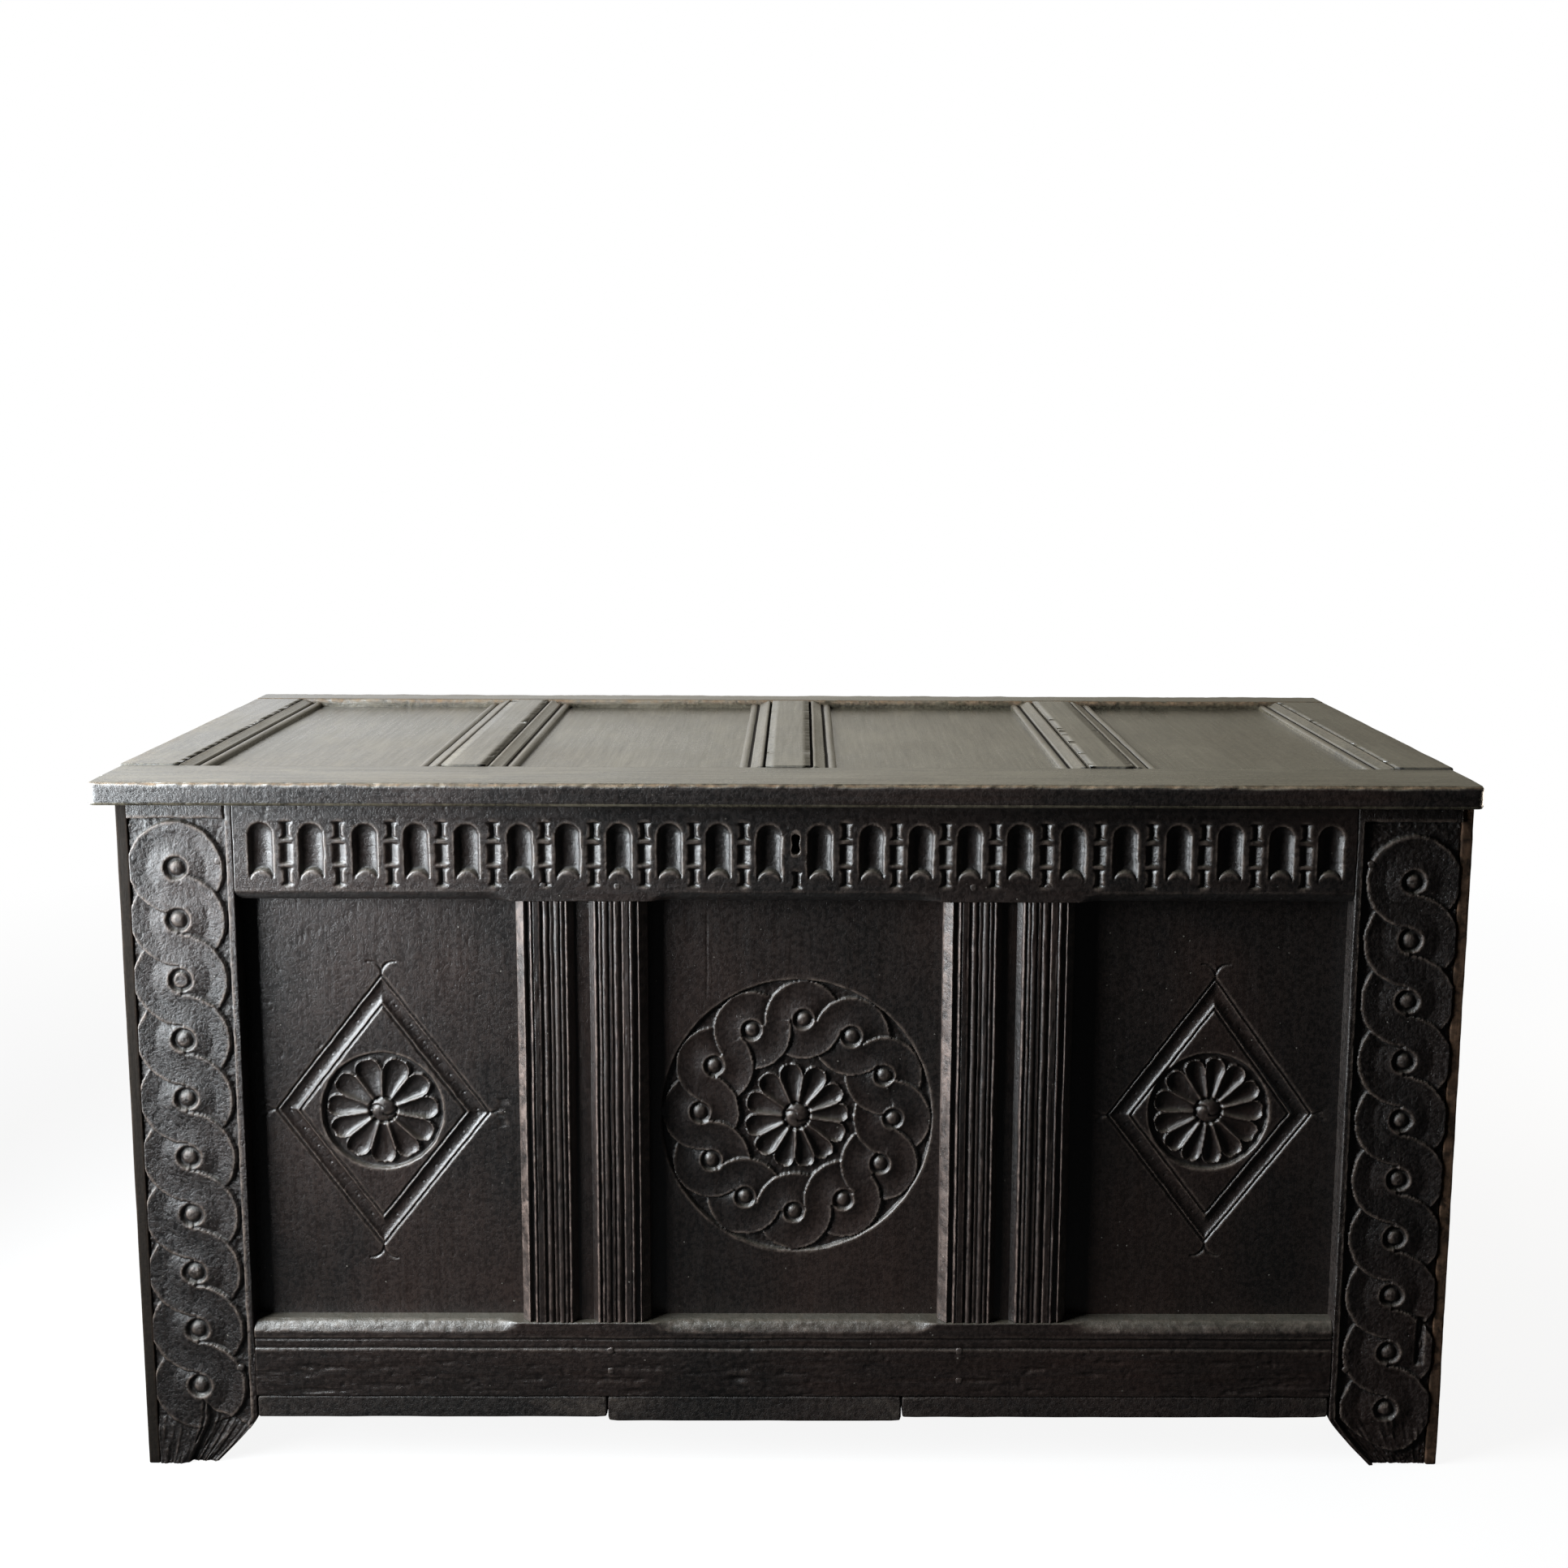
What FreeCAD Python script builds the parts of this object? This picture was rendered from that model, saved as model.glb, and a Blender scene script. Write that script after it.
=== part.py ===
import FreeCAD, Part
import Sketcher
import os
from types import SimpleNamespace

# A joined oak coffer. Everything is drawn on the bench frame: x = 0 at the middle of the carcase,
# y = 0 at the front faces of the stiles, z = 0 at the floor. Each finished piece is then moved
# by the same offset, which brings the origin under the middle of the whole coffer.

DIMENSIONS = {
    # carcase, over the stiles
    "chest_length": 1242,
    "chest_depth": 538,
    "chest_height": 662,
    # framing timbers
    "stile_width": 97.5,
    "stile_thick": 42,
    "rail_thick": 36,
    "top_rail_height": 94,
    "bottom_rail_height": 76.5,
    "bottom_rail_lift": 72,
    "muntin_width": 124,
    "centre_light": 279,
    "foot_cut_width": 42,
    "foot_cut_height": 49,
    "arris_bevel": 9.2,
    "bevel_stop": 5,
    # reeded face of the front muntins
    "quirk_width": 3.6,
    "quirk_depth": 4.5,
    "reed_land": 8.6,
    "reed_groove": 1.8,
    "reed_groove_depth": 1.8,
    "channel_floor": 15.4,
    "channel_depth": 8,
    "channel_slope": 4.6,
    # joints
    "groove_width": 8,
    "groove_depth": 9,
    "panel_recess": 20,
    "panel_fit": 0.2,
    "panel_play": 1.5,
    "panel_field": 12.5,
    "panel_feather": 28,
    "panel_margin": 1,
    "tenon_thick": 10,
    "tenon_inset": 19,
    "tenon_shoulder": 12,
    "rail_tenon": 38,
    "muntin_tenon": 30,
    "muntin_foot_tenon": 65,
    "muntin_tenon_width": 104,
    "joint_fit": 0.1,
    "mortise_spare": 1.5,
    "peg_radius": 4,
    "peg_fit": 0.05,
    "peg_pair_gap": 19,
    "peg_from_shoulder": 14.5,
    "stile_peg_spare": 3,
    "muntin_peg_spread": 35,
    "low_peg_height": 119.5,
    "left_low_peg_shift": 23.5,
    "left_lowest_peg_height": 98.7,
    "right_low_peg_shift": 41,
    "right_lowest_peg_height": 89,
    # ends
    "end_rail_thick": 30,
    "end_top_rail_height": 80,
    "end_bottom_rail_height": 60,
    "end_tenon": 30,
    "end_tenon_inset": 10,
    "end_board_thick": 11,
    "end_board_setback": 2.5,
    "end_board_seam": 0.6,
    "end_foot_width": 88,
    "end_foot_height": 52,
    "end_foot_slope": 26,
    # bottom boards
    "bottom_board_thick": 22,
    "centre_board_thick": 26,
    "bottom_board_setback": 1,
    "bottom_board_fit": 2,
    "bottom_board_clear": 8,
    "bottom_board_seam": 0.6,
    "left_seam": 182,
    "right_seam": 105,
    "broken_corner_length": 50,
    "broken_corner_height": 12,
    "broken_corner_depth": 24,
    # lid
    "lid_gap": 0.3,
    "lid_thick": 23.6,
    "lid_over_left": 18,
    "lid_over_right": 2,
    "lid_over_front": 22,
    "lid_front_rail": 87,
    "lid_back_rail": 42,
    "lid_end_flat": 53,
    "lid_muntin_flat": 43,
    "lid_muntin_pitch": 312,
    "lid_panel_drop": 9,
    "lid_quirk": 3.2,
    "lid_quirk_depth": 3.4,
    "lid_fillet": 3,
    "lid_fillet_drop": 0.8,
    "lid_hollow": 8.8,
    "lid_hollow_drop": 4.2,
    "lid_step": 3,
    "lid_step_drop": 5.4,
    "lid_bead_rise": 2,
    "lid_bead_rise_drop": 4,
    "lid_bead_fall": 6,
    "lid_lip_drop": 6.2,
    "lid_panel_base": 3.3,
    "lid_nosing": 33,
    "lid_nosing_drop": 2.6,
    "lid_edge_chamfer": 3,
    "lid_groove_depth": 8,
    "lid_front_tenon": 40,
    "lid_back_tenon": 28,
    "lid_tenon_width": 44,
    "lid_peg_radius": 3.5,
    "lid_peg_length": 18,
    "lid_peg_shift": 18,
    # strap hinges
    "hinge_plate": 3,
    "knuckle_radius": 6,
    "hinge_pin_radius": 2.5,
    "hinge_pin_fit": 0.05,
    "knuckle_width": 12,
    "knuckle_gap": 0.3,
    "hinge_stand": 6.4,
    "ear_reach": 20,
    "strap_width": 32,
    "strap_length": 190,
    "strap_housing_fit": 0.6,
    "leaf_drop": 58,
    # lock
    "keyhole_width": 7.5,
    "keyhole_waist": 5.6,
    "keyhole_height": 19,
    "keyhole_drop": 39,
    "lock_width": 90,
    "lock_height": 64,
    "lock_depth": 20,
    "lock_wall": 2.5,
    "lock_top_gap": 8,
    "lock_flange": 13,
    "lock_flange_height": 46,
    "lock_rib_inset": 5,
    "lock_rib_bite": 1.25,
    "bolt_length": 50,
    "bolt_height": 9,
    "bolt_thick": 5,
    "bolt_reach": 12,
    "bolt_travel": 12,
    "bolt_fit": 0.2,
    "bolt_rise": 16,
    "bolt_talon_width": 8,
    "bolt_talon_depth": 2,
    "staple_offset": 16,
    "staple_bar": 3,
    "staple_play": 1.3,
    "staple_slot_fit": 2.5,
    "staple_plate_length": 52,
    "staple_plate_width": 22,
    "staple_plate_thick": 2.5,
    # nails
    "nail_radius": 1.8,
    "nail_fit": 0.05,
    "nail_head_radius": 4.6,
    "nail_crown_radius": 2.3,
    "nail_head_height": 1.5,
    "end_nail_length": 32,
    "bottom_nail_length": 50,
    "iron_nail_length": 17,
    "end_nail_corner": 74,
    "end_nail_seam": 16,
    "bottom_nail_inset": 26,
    "bottom_nail_corner": 48.5,
    "bottom_nail_post": 36.5,
    "centre_nail_left": 64,
    "centre_nail_right": 43,
    "strap_nail_end": 16,
    "leaf_nail_end": 8,
    "lock_nail_end": 8,
    "staple_nail_end": 8,
    "staple_nail_side": 5,
}

doc = FreeCAD.newDocument("CofferChest")


# ---------------------------------------------------------------- sizes and their formulas

class Size:
    """A size that carries both its number and the sheet formula it comes from."""

    def __init__(self, formula, number):
        self.formula = formula
        self.number = number

    def __add__(self, other):
        return Size(f"({self.formula} + {formula_of(other)})", self.number + number_of(other))

    def __radd__(self, other):
        return Size(f"({formula_of(other)} + {self.formula})", number_of(other) + self.number)

    def __sub__(self, other):
        return Size(f"({self.formula} - {formula_of(other)})", self.number - number_of(other))

    def __rsub__(self, other):
        return Size(f"({formula_of(other)} - {self.formula})", number_of(other) - self.number)

    def __mul__(self, other):
        return Size(f"({self.formula} * {formula_of(other)})", self.number * number_of(other))

    def __rmul__(self, other):
        return self * other

    def __truediv__(self, other):
        return Size(f"({self.formula} / {formula_of(other)})", self.number / number_of(other))

    def __neg__(self):
        return Size(f"(0 - {self.formula})", -self.number)


def formula_of(value):
    return value.formula if isinstance(value, Size) else repr(value)


def number_of(value):
    return value.number if isinstance(value, Size) else value


def make_sheet():
    sheet = doc.addObject("Spreadsheet::Sheet", "Dims")
    for row, (alias, value) in enumerate(DIMENSIONS.items(), start=1):
        sheet.set(f"A{row}", alias)
        sheet.set(f"B{row}", str(value))
        sheet.setAlias(f"B{row}", alias)
    doc.recompute()
    return SimpleNamespace(**{alias: Size(f"Dims.{alias}", value)
                              for alias, value in DIMENSIONS.items()})


d = make_sheet()

ROOT_TWO = 2 ** 0.5
LEFT, RIGHT = -1, 1
FRONT, REAR = "front", "rear"

# ---------------------------------------------------------------- places worked out from the sizes

half_length = d.chest_length / 2
inner_edge = half_length - d.stile_width
muntin_inner = d.centre_light / 2
muntin_outer = muntin_inner + d.muntin_width
muntin_centre = muntin_inner + d.muntin_width / 2
side_light = inner_edge - muntin_outer

bottom_rail_top = d.bottom_rail_lift + d.bottom_rail_height
top_rail_bottom = d.chest_height - d.top_rail_height
light_height = top_rail_bottom - bottom_rail_top

lid_under = d.chest_height + d.lid_gap
lid_left = -half_length - d.end_board_thick - d.lid_over_left
lid_right = half_length + d.end_board_thick + d.lid_over_right
lid_length = lid_right - lid_left
lid_middle = (lid_left + lid_right) / 2
lid_inside_front = d.lid_front_rail - d.lid_over_front
lid_inside_back = d.chest_depth - d.lid_back_rail
lid_moulding = (d.lid_quirk + d.lid_fillet + d.lid_hollow + d.lid_step + d.lid_bead_rise
                + d.lid_bead_fall)
lid_muntin_width = d.lid_muntin_flat + 2 * lid_moulding
lid_end_width = d.lid_end_flat + lid_moulding
lid_groove_base = d.lid_thick - d.lid_panel_drop - d.groove_width

hinge_axis_y = d.chest_depth + d.hinge_stand
hinge_axis_z = lid_under - d.knuckle_radius
hinge_places = {"left": lid_middle - d.lid_muntin_pitch, "right": lid_middle + d.lid_muntin_pitch}

keyhole_z = d.chest_height - d.keyhole_drop
lock_top = d.chest_height - d.lock_top_gap
bolt_base = keyhole_z + d.bolt_rise - d.bolt_height / 2
bolt_y = d.rail_thick + (d.lock_depth - d.lock_wall) / 2

# The whole coffer, hinges included, is centred on the origin.
offset_x = -lid_middle
overall_depth = d.lid_over_front + d.chest_depth + d.hinge_stand + d.knuckle_radius
offset_y = d.lid_over_front - overall_depth / 2

AXIS_TURNS = {
    "x": FreeCAD.Rotation(FreeCAD.Vector(0, 1, 0), 90),
    "y": FreeCAD.Rotation(FreeCAD.Vector(1, 0, 0), -90),
    "z": FreeCAD.Rotation(),
}
SIDEWAYS = FreeCAD.Rotation(FreeCAD.Vector(1, 0, 0), 45)
DOWNWARD = FreeCAD.Rotation(FreeCAD.Vector(1, 0, 0), -90)


# ---------------------------------------------------------------- drawing helpers

def bind(thing, **sizes):
    for name, value in sizes.items():
        thing.setExpression(name, formula_of(value))


def place(thing, corner):
    for axis, value in zip("xyz", corner):
        thing.setExpression(f"Placement.Base.{axis}", formula_of(value))


def block(name, corner, size):
    box = doc.addObject("Part::Box", name)
    bind(box, Length=size[0], Width=size[1], Height=size[2])
    place(box, corner)
    return box


def rod(name, start, axis, radius, length):
    bar = doc.addObject("Part::Cylinder", name)
    bind(bar, Radius=radius, Height=length)
    bar.Placement.Rotation = AXIS_TURNS[axis]
    place(bar, start)
    return bar


def joined(name, pieces):
    if len(pieces) == 1:
        return pieces[0]
    whole = doc.addObject("Part::MultiFuse", name)
    whole.Shapes = pieces
    return whole


def group(name, pieces):
    together = doc.addObject("Part::Compound", name)
    together.Links = pieces
    return together


def carve(name, piece, tools):
    result = doc.addObject("Part::Cut", name)
    result.Base = piece
    result.Tool = joined(name + "_tools", tools)
    return result


def drawn(name, plane, corners, thickness, shift=(0, 0, 0), backward=False):
    """A body padded from a closed outline, whose corners are bound to the sheet."""
    body = doc.addObject("PartDesign::Body", name)
    sketch = body.newObject("Sketcher::SketchObject", name + "_outline")
    origin_plane = [item for item in body.Origin.OriginFeatures if item.Role == plane][0]
    sketch.AttachmentSupport = [(origin_plane, "")]
    sketch.MapMode = "FlatFace"
    count = len(corners)
    points = [FreeCAD.Vector(*map(number_of, corner), 0) for corner in corners]
    for index in range(count):
        sketch.addGeometry(Part.LineSegment(points[index], points[(index + 1) % count]), False)
    for index in range(count):
        following = (index + 1) % count
        sketch.addConstraint(Sketcher.Constraint("Coincident", index, 2, following, 1))
    for index, corner in enumerate(corners):
        for kind, value in zip(("DistanceX", "DistanceY"), corner):
            label = f"{kind[-1].lower()}{index}"
            constraint = Sketcher.Constraint(kind, -1, 1, index, 1, number_of(value))
            number = sketch.addConstraint(constraint)
            sketch.renameConstraint(number, label)
            sketch.setExpression(f"Constraints.{label}", formula_of(value))
    pad = body.newObject("PartDesign::Pad", name + "_pad")
    pad.Profile = sketch
    pad.Reversed = backward
    bind(pad, Length=thickness)
    place(body, shift)
    return body


nodes = []


def finish(label, piece):
    """Names a finished sub-part and moves it from the bench frame to the coffer's own."""
    piece.Label = label
    place(piece, (offset_x, offset_y, 0))
    nodes.append((label, piece))


def layer(side, depth, thick):
    """The low y of a layer that starts at a depth behind the outer face of a side."""
    return depth if side == FRONT else d.chest_depth - depth - thick


def across(hand, near, width):
    """The low x of a span that starts at a distance from the middle, on one hand."""
    return near if hand == RIGHT else -near - width


def hand_name(hand):
    return "left" if hand == LEFT else "right"


# ---------------------------------------------------------------- pegs and nails

def rail_levels():
    return {"top": (top_rail_bottom, d.top_rail_height),
            "bottom": (d.bottom_rail_lift, d.bottom_rail_height)}


def end_rail_levels():
    return {"top": (d.chest_height - d.end_top_rail_height, d.end_top_rail_height),
            "bottom": (d.bottom_rail_lift, d.end_bottom_rail_height)}


def stile_peg_places():
    """(x, z) of the pegs that hold the long rails in the stiles."""
    places = []
    for hand in (LEFT, RIGHT):
        x = hand * (inner_edge + d.peg_from_shoulder)
        for base, height in rail_levels().values():
            middle = base + height / 2
            places += [(x, middle - d.peg_pair_gap / 2), (x, middle + d.peg_pair_gap / 2)]
    return places


def muntin_peg_places():
    """(x, z) of the pegs that hold the muntins in the long rails."""
    places = [(hand * muntin_centre + way * d.muntin_peg_spread,
               top_rail_bottom + d.peg_from_shoulder)
              for hand in (LEFT, RIGHT) for way in (-1, 1)]
    places += [(d.left_low_peg_shift - muntin_centre, z)
               for z in (d.low_peg_height, d.left_lowest_peg_height)]
    places += [(muntin_centre - d.right_low_peg_shift, z)
               for z in (d.low_peg_height, d.right_lowest_peg_height)]
    return places


def framed_side_pegs(side, name, radius):
    """Blind pegs driven from the inside of the stiles, and pegs right through the rails."""
    depth = d.tenon_inset - d.stile_peg_spare
    blind = d.stile_thick - depth
    pegs = [rod(f"{name}_stile_{index}", (x, layer(side, depth, blind), z), "y", radius, blind)
            for index, (x, z) in enumerate(stile_peg_places())]
    pegs += [rod(f"{name}_muntin_{index}", (x, layer(side, 0, d.rail_thick), z), "y", radius,
                 d.rail_thick)
             for index, (x, z) in enumerate(muntin_peg_places())]
    return pegs


def end_peg_places():
    """(y, z) of the pegs through the tenons of the end rails."""
    near = d.stile_thick - d.peg_from_shoulder
    return [(y, base + height / 2) for y in (near, d.chest_depth - near)
            for base, height in end_rail_levels().values()]


def end_pegs(hand, name, radius):
    pegs = []
    for index, (y, z) in enumerate(end_peg_places()):
        length = d.end_rail_thick
        start = (across(hand, half_length - length, length), y, z)
        pegs.append(rod(f"{name}_{index}", start, "x", radius, length))
    return pegs


def nail(name, seat, axis, way, length):
    """A nail whose head rests on its seat and whose shank goes along way * axis."""
    lane = "xyz".index(axis)
    shank_start = list(seat)
    head_start = list(seat)
    if way < 0:
        shank_start[lane] = seat[lane] - length
    else:
        head_start[lane] = seat[lane] - d.nail_head_height
    shank = rod(name + "_shank", shank_start, axis, d.nail_radius, length)
    head = doc.addObject("Part::Cone", name + "_head")
    wide, narrow = d.nail_head_radius, d.nail_crown_radius
    low, high = (wide, narrow) if way < 0 else (narrow, wide)
    bind(head, Radius1=low, Radius2=high, Height=d.nail_head_height)
    head.Placement.Rotation = AXIS_TURNS[axis]
    place(head, head_start)
    return joined(name, [shank, head])


def nail_hole(name, seat, axis, way, length):
    start = list(seat)
    lane = "xyz".index(axis)
    if way < 0:
        start[lane] = seat[lane] - length
    return rod(name, start, axis, d.nail_radius + d.nail_fit, length)


end_seam_front = d.chest_depth / 2 - d.end_board_seam / 2
end_seam_rear = d.chest_depth / 2 + d.end_board_seam / 2


def end_nail_seats(hand):
    """Where the nails of an end's boards sit: over the top and the bottom end rail."""
    face = hand * (half_length + d.end_board_thick)
    ys = [d.end_nail_corner, end_seam_front - d.end_nail_seam, end_seam_rear + d.end_nail_seam,
          d.chest_depth - d.end_nail_corner]
    return [(face, y, base + height / 2) for y in ys
            for base, height in end_rail_levels().values()]


board_spans = {
    "left": (-half_length + d.bottom_board_clear, -d.left_seam - d.bottom_board_seam / 2),
    "centre": (-d.left_seam + d.bottom_board_seam / 2, d.right_seam - d.bottom_board_seam / 2),
    "right": (d.right_seam + d.bottom_board_seam / 2, half_length - d.bottom_board_clear),
}


def bottom_nail_seats():
    """Where the nails of the bottom boards sit, under the long rails."""
    outer = inner_edge - d.bottom_nail_corner
    inner = muntin_outer + d.bottom_nail_post
    places = [(-outer, d.bottom_board_thick), (-inner, d.bottom_board_thick),
              (d.centre_nail_left - d.left_seam, d.centre_board_thick),
              (d.right_seam - d.centre_nail_right, d.centre_board_thick),
              (inner, d.bottom_board_thick), (outer, d.bottom_board_thick)]
    return [(x, y, d.bottom_rail_lift - thick) for x, thick in places
            for y in (d.bottom_nail_inset, d.chest_depth - d.bottom_nail_inset)]


# ---------------------------------------------------------------- framed sides

def stile(hand, side):
    name = f"{side}_{hand_name(hand)}_stile"
    outline = [(inner_edge, d.foot_cut_height), (inner_edge + d.foot_cut_width, 0),
               (half_length, 0), (half_length, d.chest_height), (inner_edge, d.chest_height)]
    outline = [(hand * x, z) for x, z in outline]
    post = drawn(name + "_post", "XZ_Plane", outline, d.stile_thick,
                 (0, layer(side, 0, d.stile_thick), 0), backward=True)
    tools = []
    groove_z = bottom_rail_top - d.groove_depth
    tools.append(block(name + "_groove",
                       (across(hand, inner_edge, d.groove_depth),
                        layer(side, d.panel_recess, d.groove_width), groove_z),
                       (d.groove_depth, d.groove_width, light_height + 2 * d.groove_depth)))
    tenon_gap = d.tenon_thick + 2 * d.joint_fit
    for level, (z, height) in rail_levels().items():
        deep = d.rail_tenon + d.mortise_spare
        tools.append(block(f"{name}_{level}_mortise",
                           (across(hand, inner_edge, deep),
                            layer(side, d.tenon_inset - d.joint_fit, tenon_gap),
                            z + d.tenon_shoulder - d.joint_fit),
                           (deep, tenon_gap, height - 2 * d.tenon_shoulder + 2 * d.joint_fit)))
    for level, (z, height) in end_rail_levels().items():
        deep = d.end_tenon + d.mortise_spare
        near = half_length - d.end_tenon_inset - d.tenon_thick - d.joint_fit
        tools.append(block(f"{name}_{level}_end_mortise",
                           (across(hand, near, tenon_gap),
                            layer(side, d.stile_thick - deep, deep),
                            z + d.tenon_shoulder - d.joint_fit),
                           (tenon_gap, deep, height - 2 * d.tenon_shoulder + 2 * d.joint_fit)))
    hole = d.peg_radius + d.peg_fit
    tools += framed_side_pegs(side, name + "_hole", hole)
    tools += end_pegs(hand, name + "_end_hole", hole)
    finish(name, carve(name + "_cut", post, tools))


def keyhole_tools():
    """A slot with round ends, through the top rail."""
    radius = d.keyhole_width / 2
    rise = d.keyhole_height / 2 - radius
    waist = block("keyhole_waist", (-d.keyhole_waist / 2, 0, keyhole_z - rise),
                  (d.keyhole_waist, d.rail_thick, 2 * rise))
    ends = [rod(f"keyhole_end_{way}", (0, 0, keyhole_z + way * rise), "y", radius, d.rail_thick)
            for way in (-1, 1)]
    return [waist] + ends


def stopped_bevel(name, low, length, arris_z):
    """A square bar laid on its edge along an arris, which it cuts to a bevel."""
    side = d.arris_bevel * ROOT_TWO
    bar = block(name, (low, 0, arris_z - d.arris_bevel), (length, side, side))
    bar.Placement.Rotation = SIDEWAYS
    return bar


def front_bevels(name, arris_z):
    return [
        stopped_bevel(name + "_left_bevel", -inner_edge, side_light - d.bevel_stop, arris_z),
        stopped_bevel(name + "_centre_bevel", -muntin_inner + d.bevel_stop,
                      d.centre_light - 2 * d.bevel_stop, arris_z),
        stopped_bevel(name + "_right_bevel", muntin_outer + d.bevel_stop,
                      side_light - d.bevel_stop, arris_z),
    ]


def long_rail(side, level):
    name = f"{side}_{level}_rail"
    z, height = rail_levels()[level]
    pieces = [block(name + "_bar", (-inner_edge, layer(side, 0, d.rail_thick), z),
                    (2 * inner_edge, d.rail_thick, height))]
    tenon_y = layer(side, d.tenon_inset, d.tenon_thick)
    pieces.append(block(name + "_tenons",
                        (-inner_edge - d.rail_tenon, tenon_y, z + d.tenon_shoulder),
                        (2 * (inner_edge + d.rail_tenon), d.tenon_thick,
                         height - 2 * d.tenon_shoulder)))
    edge = z if level == "top" else z + height
    groove_z = edge if level == "top" else edge - d.groove_depth
    tools = [block(name + "_groove",
                   (-inner_edge, layer(side, d.panel_recess, d.groove_width), groove_z),
                   (2 * inner_edge, d.groove_width, d.groove_depth))]
    deep = (d.muntin_tenon if level == "top" else d.muntin_foot_tenon) + d.mortise_spare
    gap_y = d.tenon_thick + 2 * d.joint_fit
    gap_x = d.muntin_tenon_width + 2 * d.joint_fit
    for hand in (LEFT, RIGHT):
        tools.append(block(f"{name}_{hand_name(hand)}_mortise",
                           (hand * muntin_centre - gap_x / 2,
                            layer(side, d.tenon_inset - d.joint_fit, gap_y),
                            edge if level == "top" else edge - deep),
                           (gap_x, gap_y, deep)))
    tools += framed_side_pegs(side, name + "_hole", d.peg_radius + d.peg_fit)
    if side == FRONT:
        tools += front_bevels(name, edge)
    if level == "bottom":
        tools += bottom_nail_holes(name, "rail")
    if name == "front_top_rail":
        tools += keyhole_tools()
        tools += [nail_hole(f"{name}_nail_{index}", seat, "y", -1, d.iron_nail_length)
                  for index, seat in enumerate(lock_nail_seats())]
    if name == "rear_top_rail":
        tools += strap_housings()
        tools += [nail_hole(f"{name}_nail_{index}", seat, "y", -1, d.iron_nail_length)
                  for index, seat in enumerate(leaf_nail_seats())]
    finish(name, carve(name + "_cut", joined(name + "_solid", pieces), tools))


def reeded_face():
    """Half of a front muntin's face, from its bevel to its channel, as (offset, depth)."""
    half = d.muntin_width / 2
    points = [(half, d.arris_bevel)]
    here = half - d.arris_bevel
    points.append((here, 0))
    points.append((here, d.quirk_depth))
    here = here - d.quirk_width
    points.append((here, d.quirk_depth))
    points.append((here, 0))
    for reed in range(3):
        here = here - d.reed_land
        points.append((here, 0))
        points.append((here - d.reed_groove / 2, d.reed_groove_depth))
        here = here - d.reed_groove
        points.append((here, 0))
    channel_edge = d.channel_floor / 2
    points.append((channel_edge + d.channel_slope, 0))
    points.append((channel_edge, d.channel_depth))
    return points


def muntin(hand, side):
    name = f"{side}_{hand_name(hand)}_muntin"
    half = d.muntin_width / 2
    if side == FRONT:
        face = reeded_face()
        outline = [(-x, depth) for x, depth in face]
        outline += [(x, depth) for x, depth in reversed(face)]
        outline += [(half, d.rail_thick), (-half, d.rail_thick)]
    else:
        outline = [(-half, 0), (half, 0), (half, d.rail_thick), (-half, d.rail_thick)]
    post = drawn(name + "_post", "XY_Plane", outline, light_height,
                 (hand * muntin_centre, layer(side, 0, d.rail_thick), bottom_rail_top))
    tenon = block(name + "_tenon",
                  (hand * muntin_centre - d.muntin_tenon_width / 2,
                   layer(side, d.tenon_inset, d.tenon_thick),
                   bottom_rail_top - d.muntin_foot_tenon),
                  (d.muntin_tenon_width, d.tenon_thick,
                   d.muntin_foot_tenon + light_height + d.muntin_tenon))
    tools = []
    for way in (-1, 1):
        edge = hand * muntin_centre + way * half
        low = edge - d.groove_depth if way > 0 else edge
        tools.append(block(f"{name}_groove_{way}",
                           (low, layer(side, d.panel_recess, d.groove_width), bottom_rail_top),
                           (d.groove_depth, d.groove_width, light_height)))
    tools += framed_side_pegs(side, name + "_hole", d.peg_radius + d.peg_fit)
    finish(name, carve(name + "_cut", joined(name + "_solid", [post, tenon]), tools))


def panel(place_name, side):
    """A board let into the grooves by its edges, with its back feathered."""
    name = f"{side}_{place_name}_panel"
    low = {"left": -inner_edge, "centre": -muntin_inner, "right": muntin_outer}[place_name]
    width = d.centre_light if place_name == "centre" else side_light
    tongue = d.groove_depth - d.panel_play
    thick = d.groove_width - 2 * d.panel_fit
    depth = d.panel_recess + d.panel_fit
    board = block(name + "_board",
                  (low - tongue, layer(side, depth, thick), bottom_rail_top - tongue),
                  (width + 2 * tongue, thick, light_height + 2 * tongue))
    raised = d.panel_field - thick
    field = doc.addObject("Part::Wedge", name + "_field")
    margin, feather = d.panel_margin, d.panel_feather
    low_inset, high_inset = (margin, feather) if side == FRONT else (feather, margin)
    bind(field, Xmin=low_inset, Xmax=width - low_inset, Zmin=low_inset,
         Zmax=light_height - low_inset, X2min=high_inset, X2max=width - high_inset,
         Z2min=high_inset, Z2max=light_height - high_inset, Ymin=0, Ymax=raised)
    place(field, (low, layer(side, depth + thick, raised), bottom_rail_top))
    finish(name, joined(name + "_solid", [board, field]))


# ---------------------------------------------------------------- ends and bottom

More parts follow.
